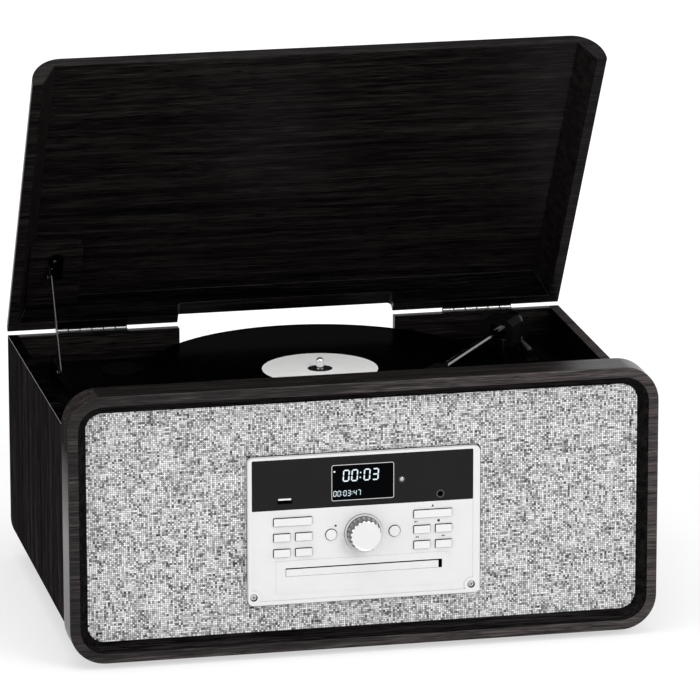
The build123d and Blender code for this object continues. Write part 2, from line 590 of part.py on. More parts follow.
def control_panel():
    rim_y = PLATE_Y - RIM_STEP
    plate = along_y(panel(PLATE_X, PLATE_Z, PLATE_WIDTH, PLATE_HEIGHT, PLATE_RADIUS), rim_y, CLOTH_Y)
    plate = fillet(plate.faces().sort_by(Axis.Y)[0].edges(), 0.8)
    field = panel(PANEL_X, FIELD_Z, FASCIA_WIDTH, FIELD_HEIGHT, 1)
    for x, z in screw_places():
        field -= disc(x, z, FIELD_BOSS)
    plate -= along_y(field, rim_y, PLATE_Y)
    plate += along_y(panel(PANEL_X, TRAY_FIELD_Z, *TRAY_FIELD, 1), PLATE_Y - TRAY_FIELD_STEP, PLATE_Y)
    hollow = panel(PLATE_X, PLATE_Z, PLATE_WIDTH - 2 * PLATE_LEDGE, PLATE_HEIGHT - PLATE_LEDGE)
    plate -= along_y(hollow, PLATE_BACK, CLOTH_Y)
    ring_y = PLATE_Y - 0.8
    plate += turned_y(KNOB_X, CONTROL_Z, (KNOB_RADIUS + 0.4, PLATE_Y + 0.5), (KNOB_RADIUS + 0.4, ring_y),
                      (KNOB_RING, ring_y), (KNOB_RING + 0.4, PLATE_Y + 0.5))
    fascia = panel(PANEL_X, FASCIA_Z, FASCIA_WIDTH, FASCIA_HEIGHT, 1)
    plate -= along_y(fascia, PLATE_Y, PLATE_Y + FASCIA_THICK)
    holes = panel(PANEL_X, DISPLAY_Z, DISPLAY_WIDTH, DISPLAY_HEIGHT, 1)
    holes += panel(USB_X, USB_Z, *USB_OPENING, 0.5)
    holes += disc(SENSOR_X, DISPLAY_Z, SENSOR_RADIUS) + disc(JACK_X, JACK_Z, JACK_BORE + 1.2)
    fascia_sheet = along_y(fascia - holes, PLATE_Y, PLATE_Y + FASCIA_THICK)
    parts["display_fascia"] = fascia_sheet
    for _, x, z, width in key_places():
        holes += panel(x, z, width + 2 * KEY_SLIT, KEY_HEIGHT + 2 * KEY_SLIT, 0.8)
    for x in (PANEL_X - ROUND_KEY_X, PANEL_X + ROUND_KEY_X):
        holes += disc(x, CONTROL_Z, ROUND_KEY_RADIUS + KEY_SLIT)
    holes += disc(KNOB_X, CONTROL_Z, SHAFT_RADIUS + 1)
    holes += panel(SLOT_X, TRAY_SLOT_Z, *TRAY_SLOT)
    plate -= along_y(holes, PLATE_Y - 1, CLOTH_Y)
    r, shank, seat_y, tip = SCREW_RADIUS, SCREW_SHANK, PLATE_Y + 1.6, PLATE_Y + SCREW_LENGTH
    screws = []
    for x, z in screw_places():
        plate -= along_y(disc(x, z, r + 2 * SEAT), rim_y, seat_y)
        plate -= along_y(disc(x, z, shank + SEAT), seat_y, CLOTH_Y)
        screw = turned_y(x, z, (0, PLATE_Y + 0.1), (r - 1, PLATE_Y + 0.1), (r, PLATE_Y + 0.8), (r, seat_y),
                         (shank, seat_y), (shank, tip - 2), (0, tip))
        screw -= block(x - 1.6, x + 1.6, PLATE_Y, PLATE_Y + 0.9, z - 0.3, z + 0.3)
        screw -= block(x - 0.3, x + 0.3, PLATE_Y, PLATE_Y + 0.9, z - 1.6, z + 1.6)
        screws.append(screw)
    for x in (PANEL_X - BOSS_X, PANEL_X + BOSS_X):
        for z in (BOARD_BOTTOM + 4, BOARD_TOP - 4):
            plate += along_y(disc(x, z, 3), PLATE_BACK, BOARD_Y)
    parts["faceplate"] = plate
    parts["faceplate_screws"] = Compound(screws)


def panel_insides():
    """Circuit board with what is soldered on it, the display glass and the two sockets."""
    middle = (BOARD_BOTTOM + BOARD_TOP) / 2
    sheet = panel(PANEL_X, middle, BOARD_WIDTH, BOARD_TOP - BOARD_BOTTOM)
    board = along_y(sheet, BOARD_Y, BOARD_Y + BOARD)
    for _, x, z, _ in key_places():
        board += block(x - 3, x + 3, BOARD_Y - SWITCH_HEIGHT, BOARD_Y, z - 3, z + 3)
    for x in (PANEL_X - ROUND_KEY_X, PANEL_X + ROUND_KEY_X):
        board += block(x - 3, x + 3, BOARD_Y - SWITCH_HEIGHT, BOARD_Y, CONTROL_Z - 3, CONTROL_Z + 3)
    encoder = 6.5
    board += block(KNOB_X - encoder, KNOB_X + encoder, PLATE_BACK + 1, BOARD_Y,
                   CONTROL_Z - encoder, CONTROL_Z + encoder)
    board -= along_y(disc(KNOB_X, CONTROL_Z, SHAFT_RADIUS + RUNNING), PLATE_BACK, BOARD_Y + BOARD)
    board -= along_y(disc(JACK_X, JACK_Z, JACK_BORE + 1 + SEAT), BOARD_Y, BOARD_Y + BOARD)
    board += turned_y(SENSOR_X, DISPLAY_Z, (0, PLATE_Y + 0.4), (SENSOR_RADIUS - 1, PLATE_Y + 0.4),
                      (SENSOR_RADIUS - KEY_PLAY, PLATE_Y + 1.2), (SENSOR_RADIUS - KEY_PLAY, BOARD_Y), (0, BOARD_Y))
    parts["control_board"] = board

    pane = panel(PANEL_X, DISPLAY_Z, DISPLAY_WIDTH - 2 * SEAT, DISPLAY_HEIGHT - 2 * SEAT, 1)
    glass = along_y(pane, PLATE_Y + 0.4, PLATE_BACK + 0.5)
    glass += along_y(panel(PANEL_X, DISPLAY_Z, DISPLAY_WIDTH + 6, DISPLAY_HEIGHT - 4), PLATE_BACK + 0.5, BOARD_Y)
    parts["display_module"] = glass

    width, height = USB_OPENING[0] - 2 * SEAT, USB_OPENING[1] - 2 * SEAT
    shell = panel(USB_X, USB_Z, width, height) - panel(USB_X, USB_Z, width - 0.6, height - 0.6)
    socket = along_y(shell, PLATE_Y + 0.6, BOARD_Y)
    socket += block(USB_X - width / 2, USB_X + width / 2, BOARD_Y - 1, BOARD_Y, USB_Z - height / 2, USB_Z + height / 2)
    tongue_top = USB_Z + 1.9
    socket += block(USB_X - 4.5, USB_X + 4.5, PLATE_Y + 6.2, BOARD_Y, tongue_top - 1.4, tongue_top)
    parts["usb_socket"] = socket

    rim, mouth = JACK_BORE + 1, PLATE_Y + 0.3
    end = mouth + JACK_LENGTH
    parts["audio_jack"] = turned_y(
        JACK_X, JACK_Z, (JACK_BORE, mouth), (rim, mouth), (rim, PLATE_BACK + 0.5), (rim + 1.5, PLATE_BACK + 0.5),
        (rim + 1.5, BOARD_Y), (rim, BOARD_Y), (rim, end + 1), (0, end + 1), (0, end), (JACK_BORE, end))


def knob():
    nose = PLATE_Y - KNOB_LENGTH
    skirt = PLATE_Y - 0.3
    body = turned_y(KNOB_X, CONTROL_Z, (0, nose + 0.6), (KNOB_NOSE_RADIUS - 2.2, nose + 0.6), (KNOB_NOSE_RADIUS - 1, nose),
                    (KNOB_NOSE_RADIUS, nose + 0.8), (KNOB_RADIUS, skirt), (SHAFT_RADIUS, skirt),
                    (SHAFT_RADIUS, BOARD_Y + BOARD - 1), (0, BOARD_Y + BOARD - 1))
    flute = along_y(disc(0, KNOB_NOSE_RADIUS - FLUTE_DEPTH + FLUTE_RADIUS, FLUTE_RADIUS), nose - 1, skirt - 1.2)
    for n in range(KNOB_FLUTES):
        body -= Pos(KNOB_X, 0, CONTROL_Z) * Rot(0, 360 / KNOB_FLUTES * n, 0) * flute
    parts["volume_knob"] = body


def compact_disc():
    left, right = TRAY_X - TRAY_WIDTH / 2, TRAY_X + TRAY_WIDTH / 2
    front = block(left, right, PLATE_Y - 0.4, PLATE_BACK, TRAY_Z - TRAY_HEIGHT / 2, TRAY_Z + TRAY_HEIGHT / 2)
    low = TRAY_Z - TRAY_PLATE / 2
    edge = TRAY_EDGE
    tray = block(left + edge, right - edge, PLATE_BACK, PLATE_BACK + TRAY_DEPTH, low, low + TRAY_PLATE)
    middle = PLATE_BACK + 6 + DISC_RECESS
    tray -= along_z(disc(TRAY_X, middle, DISC_RECESS), low + TRAY_PLATE - 1, low + TRAY_PLATE)
    width, length = DISC_WINDOW
    window = disc(TRAY_X, middle, DISC_HUB) + panel(TRAY_X, middle + length / 2, width, length)
    tray -= along_z(window, low, low + TRAY_PLATE)
    parts["cd_tray"] = front + tray

    half = DRIVE_WIDTH / 2
    bottom = TRAY_Z - DRIVE_HEIGHT / 2 - 2
    front_y = BAFFLE_BACK - 6
    rear_y = front_y + DRIVE_DEPTH
    drive = block(TRAY_X - half, TRAY_X + half, front_y, rear_y, bottom, bottom + DRIVE_HEIGHT)
    slot_left, slot_right = left + edge - KEY_PLAY, right - edge + KEY_PLAY
    drive -= block(slot_left, slot_right, front_y - 1, rear_y - 2, low - KEY_PLAY, low + TRAY_PLATE + 3)
    for side in (-1, 1):
        x = sorted((TRAY_X + side * half, TRAY_X + side * (half + DRIVE_EAR)))
        drive += block(*x, BAFFLE_BACK, BAFFLE_BACK + 2, bottom, bottom + DRIVE_HEIGHT)
    parts["cd_drive"] = drive


# ---- Electronics and sound ----
def main_board():
    """Circuit board on posts, with transformer, capacitors and a finned heat sink."""
    width, depth = MAIN_BOARD
    x0, x1 = MAIN_BOARD_X - width / 2, MAIN_BOARD_X + width / 2
    y1 = DEPTH - MAIN_BOARD_BACK
    y0 = y1 - depth
    z = INNER_BOTTOM + BOARD_POST
    board = block(x0, x1, y0, y1, z, z + BOARD)
    for x in (x0 + BOARD_POST, x1 - BOARD_POST):
        for y in (y0 + BOARD_POST, y1 - BOARD_POST):
            board += along_z(disc(x, y, 4), INNER_BOTTOM, z)
    top = z + BOARD
    coil_x, coil_y, coil_z = TRANSFORMER
    coil_left, coil_rear = x0 + TRANSFORMER_INSET[0], y1 - TRANSFORMER_INSET[1]
    board += block(coil_left, coil_left + coil_x, coil_rear - coil_y, coil_rear, top, top + coil_z)
    for n in range(2):
        x = MAIN_BOARD_X + CAPACITOR_PITCH * (n - 0.5)
        can = disc(x, y1 - CAPACITOR_INSET, CAPACITOR_RADIUS)
        board += along_z(can, top, top + CAPACITOR_HEIGHT)
    sink_x, sink_y, sink_z = HEAT_SINK
    left, front_y = x1 - 8 - sink_x, y0 + 12
    board += block(left, left + sink_x, front_y, front_y + SINK_PLATE, top, top + sink_z)
    for n in range(SINK_FINS):
        x = left + (sink_x - SINK_FIN) / (SINK_FINS - 1) * n
        board += block(x, x + SINK_FIN, front_y + SINK_PLATE, front_y + sink_y, top, top + sink_z)
    parts["main_board"] = board


def terminals():
    """Plate over the cut-out in the back, with the line outputs, the aerial and the mains socket."""
    outer = panel(TERMINAL_X, TERMINAL_Z, TERMINAL_WIDTH, TERMINAL_HEIGHT, 3)
    plate = along_y(outer, DEPTH, DEPTH + TERMINAL_PLATE)
    inner_width = TERMINAL_WIDTH - 2 * TERMINAL_LAP - 2 * SEAT
    inner_height = TERMINAL_HEIGHT - 2 * TERMINAL_LAP - 2 * SEAT
    collar = panel(TERMINAL_X, TERMINAL_Z, inner_width, inner_height)
    collar -= panel(TERMINAL_X, TERMINAL_Z, inner_width - 4, inner_height - 4)
    plate += along_y(collar, DEPTH - 4, DEPTH)
    inner, rear = DEPTH - SOCKET_DEPTH, DEPTH + TERMINAL_PLATE
    inlet_x, line_x, aerial_x = TERMINAL_X + INLET_OFFSET, TERMINAL_X + LINE_OFFSET, TERMINAL_X + AERIAL_OFFSET
    sockets = []
    kinds = [(line_x + LINE_PITCH * n, LINE_RADIUS, LINE_BORE, 9) for n in range(2)]
    kinds.append((aerial_x, AERIAL_RADIUS, AERIAL_BORE, 10))
    for x, radius, bore, reach in kinds:
        seat = radius + 0.05
        plate -= along_y(disc(x, TERMINAL_Z, seat + 0.1), DEPTH - 5, DEPTH + 5)
        sockets.append(turned_y(x, TERMINAL_Z, (bore, inner), (seat, inner), (seat, rear), (radius + 1.25, rear),
                                (radius + 1.25, rear + 1), (radius, rear + 1), (radius, rear + reach),
                                (bore, rear + reach)))
    parts["rear_sockets"] = Compound(sockets)
    width, height = INLET
    plate -= along_y(panel(inlet_x, TERMINAL_Z, width + 0.4, height + 0.4, 5), DEPTH - 5, DEPTH + 5)
    parts["terminal_plate"] = plate
    body = along_y(panel(inlet_x, TERMINAL_Z, width, height, 5), DEPTH - 16, rear)
    body += along_y(panel(inlet_x, TERMINAL_Z, width + 3, height + 3, 5), rear, rear + 1.2)
    body -= along_y(panel(inlet_x, TERMINAL_Z, 15.4, 8.2, 4), DEPTH - 9, rear + 2)
    for x in (inlet_x - 4.3, inlet_x + 4.3):
        body += along_y(disc(x, TERMINAL_Z, 1.2), DEPTH - 9, rear - 1.5)
    parts["mains_inlet"] = body


def speakers():
    back = BAFFLE_BACK
    r, deep = SPEAKER_HOLE, back + SPEAKER_DEPTH
    frames, cones = [], []
    for x in (-SPEAKER_X, SPEAKER_X):
        flange = along_y(panel(x, SPEAKER_Z, SPEAKER_FLANGE, SPEAKER_FLANGE, 12), back, back + 2)
        flange -= along_y(disc(x, SPEAKER_Z, r), back, back + 2)
        basket = turned_y(x, SPEAKER_Z, (r, back), (r + 2, back), (r + 2, back + 8), (r - 10, deep - 16),
                          (r - 10, deep - 14), (r - 7, deep - 14), (r - 7, deep), (0, deep), (0, deep - 8),
                          (11, deep - 8), (11, deep - 18), (r - 12, deep - 18), (r, back + 7))
        frames.append(flange + basket)
        cones.append(turned_y(x, SPEAKER_Z, (r - 0.3, back + 0.5), (r - 0.3, back + 1.5), (r - 3, back - 1),
                              (r - 7, back + 2), (10.6, deep - 19), (10.6, deep - 11), (9.4, deep - 11),
                              (9.4, deep - 18), (5, deep - 21), (0, deep - 22.5), (0, deep - 23.5),
                              (6, deep - 22), (10, deep - 19.6), (r - 7, back + 0.8), (r - 3, back - 2.2)))
    parts["speaker_frames"] = Compound(frames)
    parts["speaker_cones"] = Compound(cones)


# ---- Turntable ----
def deck():
    half = INNER_X - SEAT
    front_y, rear_y = BEZEL_DEPTH + SEAT, BACK_INNER - SEAT
    low = DECK_TOP - DECK
    plate = block(-half, half, front_y, rear_y, low, DECK_TOP)
    lip = OPENING_WIDTH / 2 - SEAT
    plate += block(-lip, lip, BAFFLE_BACK + SEAT, front_y, low, DECK_TOP)
    plate += along_z(disc(SPINDLE_X, SPINDLE_Y, WELL_RADIUS + DECK), WELL_FLOOR - DECK, DECK_TOP)
    plate -= along_z(disc(SPINDLE_X, SPINDLE_Y, WELL_RADIUS), WELL_FLOOR, DECK_TOP)
    boss_low = WELL_FLOOR - BEARING_LENGTH
    plate += along_z(disc(SPINDLE_X, SPINDLE_Y, BEARING_RADIUS + 3), boss_low, WELL_FLOOR - DECK)
    plate -= along_z(disc(SPINDLE_X, SPINDLE_Y, BEARING_RADIUS), boss_low, WELL_FLOOR)
    plate -= along_z(disc(MOTOR_X, MOTOR_Y, PULLEY_RADIUS + 2), WELL_FLOOR - DECK, WELL_FLOOR)
    plate -= along_z(panel(SWITCH_X, SWITCH_Y, 3.4, 2 * SWITCH_STEP + 8), low, DECK_TOP)
    plate -= along_z(disc(ADAPTER_X, ADAPTER_Y, ADAPTER_RADIUS + 0.5), DECK_TOP - 1, DECK_TOP)
    parts["turntable_deck"] = plate

    r, thin = SPINDLE_RADIUS, SPINDLE_RADIUS - SPINDLE_RELIEF
    boss = BEARING_RADIUS + 2
    parts["spindle_bearing"] = turned_z(
        SPINDLE_X, SPINDLE_Y, (0, boss_low - 2), (boss, boss_low - 2), (boss, boss_low), (BEARING_RADIUS, boss_low),
        (BEARING_RADIUS, WELL_FLOOR), (JOURNAL + RUNNING, WELL_FLOOR), (JOURNAL + RUNNING, boss_low), (0, boss_low))
    top, step = RECORD_TOP + SPINDLE_RISE, RECORD_TOP + 0.4
    parts["platter_spindle"] = turned_z(
        SPINDLE_X, SPINDLE_Y, (0, boss_low + RUNNING), (JOURNAL, boss_low + RUNNING), (JOURNAL, WELL_FLOOR + 0.2),
        (r, WELL_FLOOR + 0.2), (r, step), (thin, step), (thin, top - 2), (thin - 0.7, top - 0.8), (thin - 2, top), (0, top))
    bore = r + 0.02
    under, drum_low = PLATTER_TOP - PLATTER_SKIN, WELL_FLOOR + 1.5
    parts["platter"] = turned_z(
        SPINDLE_X, SPINDLE_Y, (bore, PLATTER_TOP), (PLATTER_RADIUS - 1, PLATTER_TOP), (PLATTER_RADIUS, PLATTER_TOP - 1),
        (PLATTER_RADIUS, PLATTER_BOTTOM), (PLATTER_RADIUS - 3, PLATTER_BOTTOM), (PLATTER_RADIUS - 3, under),
        (BELT_RING, under), (BELT_RING, drum_low), (BELT_RING - 4, drum_low), (BELT_RING - 6, drum_low + DRUM_RECESS),
        (16, drum_low + DRUM_RECESS), (14, drum_low), (10, WELL_FLOOR + 0.3), (bore, WELL_FLOOR + 0.3))
    parts["slip_mat"] = turned_z(SPINDLE_X, SPINDLE_Y, (bore + 0.3, PLATTER_TOP), (MAT_RADIUS, PLATTER_TOP),
                                 (MAT_RADIUS, MAT_TOP), (bore + 0.3, MAT_TOP))
    groove = RECORD_TOP - 0.3
    parts["record"] = turned_z(
        SPINDLE_X, SPINDLE_Y, (r + RUNNING, MAT_TOP), (RECORD_RADIUS - 0.6, MAT_TOP), (RECORD_RADIUS, MAT_TOP + RECORD / 2),
        (RECORD_RADIUS - 0.6, RECORD_TOP), (RECORD_RADIUS - 4, RECORD_TOP), (RECORD_RADIUS - 5, groove),
        (LABEL_RADIUS + 8, groove), (LABEL_RADIUS + 1, RECORD_TOP), (r + RUNNING, RECORD_TOP))


def belt_outline(grow):
    """Loop round the platter's belt ring and the motor pulley, grown outwards."""
    big, small = BELT_RING + grow, PULLEY_RADIUS + grow
    lean = math.acos((big - small) / MOTOR_DISTANCE)
    along = math.radians(MOTOR_BEARING_ANGLE)
    touch = []
    for side in (-1, 1):
        c, s = math.cos(along + side * lean), math.sin(along + side * lean)
        touch.append(((SPINDLE_X + big * c, SPINDLE_Y + big * s), (MOTOR_X + small * c, MOTOR_Y + small * s)))
    web = outline(touch[0][0], touch[0][1], touch[1][1], touch[1][0])
    return disc(SPINDLE_X, SPINDLE_Y, big) + disc(MOTOR_X, MOTOR_Y, small) + web


def drive():
    loop = belt_outline(BELT_PLAY + BELT) - belt_outline(BELT_PLAY)
    parts["drive_belt"] = along_z(loop, BELT_Z, BELT_Z + BELT_HEIGHT)
    rim = PULLEY_RADIUS
    low, high = BELT_Z - 0.6, BELT_Z + BELT_HEIGHT + 0.6
    can_top = WELL_FLOOR - DECK
    parts["motor_pulley"] = turned_z(MOTOR_X, MOTOR_Y, (0, can_top - 8), (1, can_top - 8), (1, low - 1), (rim, low - 1),
                                     (rim, high), (0, high))
    can_low = can_top - MOTOR_HEIGHT
    parts["turntable_motor"] = turned_z(
        MOTOR_X, MOTOR_Y, (1 + RUNNING, can_low + 3), (1 + RUNNING, can_top), (MOTOR_RADIUS - 1, can_top),
        (MOTOR_RADIUS, can_top - 1), (MOTOR_RADIUS, can_low), (0, can_low), (0, can_low + 3))


# ---- Tonearm, drawn straight forward from the pivot, then swung in ----
def swung(shape):
    return Pos(PIVOT_X, PIVOT_Y, 0) * Rot(0, 0, -ARM_ANGLE) * shape


def tonearm():
    base_top = DECK_TOP + 3
    collar_top = ARM_Z - 12.5
    turret_low = collar_top + 0.3
    base_x = (PIVOT_X + LEVER_X) / 2 - ARM_BASE_SHIFT
    base_width = 2 * LEVER_OFFSET[0] + ARM_BASE_MARGIN
    base = panel(base_x, PIVOT_Y, base_width, ARM_BASE_LENGTH, ARM_BASE_RADIUS)
    base = along_z(base, DECK_TOP, base_top)
    base += along_z(disc(PIVOT_X, PIVOT_Y, COLLAR_RADIUS), base_top, collar_top)
    base -= along_z(disc(PIVOT_X, PIVOT_Y, TURRET_SHAFT + RUNNING), DECK_TOP, collar_top)
    lift_angle = math.radians(-100)
    lift_x = PIVOT_X + LIFT_RADIUS * math.cos(lift_angle)
    lift_y = PIVOT_Y + LIFT_RADIUS * math.sin(lift_angle)
    base += along_z(disc(lift_x, lift_y, 4.5), base_top, base_top + 6)
    base -= along_z(disc(lift_x, lift_y, LIFT_POST + RUNNING), DECK_TOP, base_top + 6)
    lever_z = DECK_TOP + LEVER_RISE
    cheek = LEVER_X + LEVER_WIDTH / 2 + 0.2
    base += block(cheek, cheek + 3, LEVER_Y - 5, LEVER_Y + 5, DECK_TOP, lever_z + LEVER_BOSS)
    base -= along_x(disc(LEVER_Y, lever_z, 1.5 + RUNNING), cheek - 1, cheek + 4)
    parts["arm_base"] = base

    w, hub = TURRET_WIDTH / 2, HUB_WIDTH / 2 + 0.5
    rear = WEIGHT_Y - TURRET_GAP
    left, right = -w - TURRET_SHIFT, w - TURRET_SHIFT
    turret = block(left, right, rear - TURRET_LENGTH, rear, turret_low, ARM_Z + TURRET_RISE)
    turret = chamfer(turret.edges().filter_by(Axis.Y).group_by(Axis.Z)[-1], 5)
    turret = fillet(turret.edges().filter_by(Axis.Z), 2)
    turret -= block(-hub, hub, -TURRET_LENGTH, TURRET_LENGTH, turret_low + 3, ARM_Z + TURRET_WINDOW)
    turret += along_z(disc(0, 0, TURRET_SHAFT), DECK_TOP + RUNNING, turret_low)
    turret += along_x(disc(0, ARM_Z, 1.5), left, right)
    parts["arm_turret"] = swung(turret)

    tube_end = ARM_LENGTH - SHELL_LENGTH
    tube = along_y(disc(0, ARM_Z, ARM_TUBE), -tube_end, WEIGHT_Y + WEIGHT_LENGTH)
    tube += block(-HUB_WIDTH / 2, HUB_WIDTH / 2, -HUB_LENGTH / 2, HUB_LENGTH / 2, ARM_Z - HUB_HEIGHT / 2,
                  ARM_Z + HUB_HEIGHT / 2)
    tube -= along_x(disc(0, ARM_Z, 1.5 + RUNNING), -w, w)
    parts["arm_tube"] = swung(tube)

    ring = disc(0, ARM_Z, WEIGHT_RADIUS) - disc(0, ARM_Z, ARM_TUBE + 0.02)
    weight = along_y(ring, WEIGHT_Y, WEIGHT_Y + WEIGHT_LENGTH)
    weight = chamfer(weight.edges().filter_by(GeomType.CIRCLE).group_by(SortBy.RADIUS)[-1], 1)
    parts["counterweight"] = swung(weight)

    shell_y0, shell_y1 = -ARM_LENGTH - 6, -tube_end + 8
    half, end, socket = SHELL_WIDTH / 2, SHELL_WIDTH / 2 - 2.5, ARM_TUBE + 1.5
    side = outline((shell_y0, ARM_Z - 2.5), (shell_y0, ARM_Z - 0.5), (shell_y0 + 14, ARM_Z + 3.6),
                   (shell_y1, ARM_Z + socket), (shell_y1, ARM_Z - socket), (-tube_end - 4, ARM_Z - socket),
                   (-tube_end - 10, ARM_Z - 2.5))
    shell = along_x(side, -half, half)
    top_view = outline((-end, shell_y0), (end, shell_y0), (half, shell_y0 + 16), (half, -tube_end - 10),
                       (end, shell_y1), (-end, shell_y1), (-half, -tube_end - 10), (-half, shell_y0 + 16))
    shell &= along_z(top_view, ARM_Z - 20, ARM_Z + 20)
    shell -= along_y(disc(0, ARM_Z, ARM_TUBE + 0.02), -tube_end, shell_y1 + 1)
    stylus_z = RECORD_TOP + STYLUS_RISE
    cartridge = outline((-ARM_LENGTH - 4, ARM_Z - 2.5), (-ARM_LENGTH + 18, ARM_Z - 2.5),
                        (-ARM_LENGTH + 18, ARM_Z - 6.5), (-ARM_LENGTH + 3, stylus_z + 1.5),
                        (-ARM_LENGTH - 2, stylus_z + 2))
    shell += along_x(cartridge, -5, 5)
    tip = outline((-ARM_LENGTH - 1, stylus_z + 2), (-ARM_LENGTH + 1.5, stylus_z + 2), (-ARM_LENGTH, stylus_z))
    shell += along_x(tip, -0.6, 0.6)
    finger = outline((half, shell_y0 + 16), (half + 9, shell_y0 + 12), (half + 9, shell_y0 + 15),
                     (half, shell_y0 + 22))
    shell += along_z(finger, ARM_Z - 0.6, ARM_Z + 0.8)
    parts["headshell"] = swung(shell)

    post_z = RECORD_TOP + 2
    rest_y = PIVOT_Y - REST_DISTANCE
    rest = along_z(disc(PIVOT_X, rest_y, 9), DECK_TOP, DECK_TOP + 3)
    rest += along_z(disc(PIVOT_X, rest_y, 4), DECK_TOP, post_z)
    cradle_top = ARM_Z - ARM_TUBE - 0.5
    rest += block(PIVOT_X - 7, PIVOT_X + 7, rest_y - 4, rest_y + 4, post_z, cradle_top)
    rest -= along_y(disc(PIVOT_X, cradle_top + 0.9, ARM_TUBE + 0.4), rest_y - 5, rest_y + 5)
    parts["arm_rest"] = rest

    lift_top = ARM_Z - ARM_TUBE - LIFT_GAP
    arc = Circle(LIFT_RADIUS + 1.4) - Circle(LIFT_RADIUS - 1.4)
    reach = 3 * LIFT_RADIUS
    wedge = [(0, 0)]
    for degrees in (-84, -118, -152):
        wedge.append((reach * math.cos(math.radians(degrees)), reach * math.sin(math.radians(degrees))))
    bar = along_z(Pos(PIVOT_X, PIVOT_Y) * (arc & outline(*wedge)), lift_top - 2.4, lift_top)
    parts["lift_bar"] = bar + along_z(disc(lift_x, lift_y, LIFT_POST), DECK_TOP + LIFT_TRAVEL + 0.5, lift_top - 1)

    left, right, tip = LEVER_X - LEVER_WIDTH / 2, LEVER_X + LEVER_WIDTH / 2, LEVER_Y - LEVER_LENGTH
    lever = along_x(disc(LEVER_Y, lever_z, LEVER_BOSS), left, right)
    blade = outline((LEVER_Y, lever_z - 2), (LEVER_Y, lever_z + 2), (tip, lever_z + 2.6), (tip, lever_z + 0.6))
    lever += along_x(blade, left, right)
    lever += along_x(disc(LEVER_Y, lever_z, 1.5), LEVER_X, cheek + 3.4)
    parts["cue_lever"] = lever

    switch = block(SWITCH_X - 1.5, SWITCH_X + 1.5, SWITCH_Y - 3, SWITCH_Y + 3, DECK_TOP - 6, DECK_TOP + 5)
    under = DECK_TOP - DECK - SEAT
    switch += block(SWITCH_X - 5, SWITCH_X + 5, SWITCH_Y - 14, SWITCH_Y + 14, under - 3 + SEAT, under)
    parts["speed_switch"] = switch

    z = DECK_TOP - 1
    hole = SPINDLE_RADIUS + 0.1
    parts["adapter_45"] = turned_z(
        ADAPTER_X, ADAPTER_Y, (hole, z), (ADAPTER_RADIUS, z), (ADAPTER_RADIUS, z + 3), (ADAPTER_RADIUS - 1.5, z + 3.6),
        (9, z + 3.6), (7, z + 5.4), (hole, z + 5.4))


cabinet()
front()
lid()
stay()
hinges()
keys()
control_panel()
panel_insides()
knob()
compact_disc()
main_board()
terminals()
speakers()
deck()
drive()
tonearm()

# The origin is the middle of the floor area that the open music centre covers.
everything = Compound(list(parts.values())).bounding_box()
middle_y = (everything.min.Y + everything.max.Y) / 2
place = Pos(0, -middle_y, FOOT_HEIGHT - BODY_BOTTOM)

if __name__ == "__main__":
    os.makedirs("parts", exist_ok=True)
    for name, shape in parts.items():
        export_step(place * shape, f"parts/{name}.step")
    print(len(parts), "pieces, y moved by", round(-middle_y, 3))
    print("box", everything.min, everything.max)
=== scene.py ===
# %% [markdown]
# # A wooden stereo music centre
#
# The cabinet is a folded board tube with a bevelled frame in front, a woven grille, a silver control
# panel in the grille's middle, and a lid that stands open over a turntable. Every solid of the real
# object is already in the loaded frame, in metres, in its right place. This lesson dresses those
# solids: it softens their edges, gives them finishes, and adds what is too fine for a solid model.

# %% Load the frame
import json
import math

import bmesh
import bpy
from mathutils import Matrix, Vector


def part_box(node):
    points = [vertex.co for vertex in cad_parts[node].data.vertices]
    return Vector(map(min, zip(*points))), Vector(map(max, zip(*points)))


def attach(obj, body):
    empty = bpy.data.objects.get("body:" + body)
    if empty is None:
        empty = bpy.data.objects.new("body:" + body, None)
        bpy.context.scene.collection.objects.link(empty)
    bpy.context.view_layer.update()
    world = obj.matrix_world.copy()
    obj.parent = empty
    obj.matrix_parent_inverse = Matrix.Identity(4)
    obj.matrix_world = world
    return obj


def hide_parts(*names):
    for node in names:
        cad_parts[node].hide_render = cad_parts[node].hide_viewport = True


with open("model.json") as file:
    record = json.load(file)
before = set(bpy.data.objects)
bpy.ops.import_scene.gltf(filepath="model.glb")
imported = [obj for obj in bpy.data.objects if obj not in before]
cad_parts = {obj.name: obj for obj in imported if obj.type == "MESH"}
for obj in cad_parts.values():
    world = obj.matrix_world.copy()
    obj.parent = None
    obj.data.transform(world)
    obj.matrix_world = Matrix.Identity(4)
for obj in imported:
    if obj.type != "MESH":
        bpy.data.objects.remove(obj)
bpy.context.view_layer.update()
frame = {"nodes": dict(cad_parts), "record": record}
nodes = frame["nodes"]
body_of_node = {n: b for b, members in frame["record"]["behaviour"]["bodies"].items() for n in members}
scene = bpy.context.scene
MM = 0.001

# %% [markdown]
# ## The camera
#
# A long lens from nearly five metres keeps the verticals almost parallel, as in a catalogue picture.
# Its place and turn are plain numbers, and depth of field stays off.

# %% Camera
camera_data = bpy.data.cameras.new("long_lens")
camera_data.sensor_width = 36.0
camera_data.lens = 300.92
camera_data.clip_end = 60.0
camera = bpy.data.objects.new("long_lens", camera_data)
scene.collection.objects.link(camera)
camera.location = (-0.97603, -4.73202, 1.50853)
camera.rotation_euler = (1.309186, 0.001243, -0.208614)
scene.camera = camera
print("camera", [round(v, 3) for v in camera.location])

# %% [markdown]
# ## Shader maths
#
# A finish is mostly arithmetic on positions. Wiring that by hand is hard to read, so a small class
# wraps a shader socket and overloads the operators: `1 - mask` adds the Math node by itself.
# `Finish` holds one material, and its `node` method adds any other node in one line.

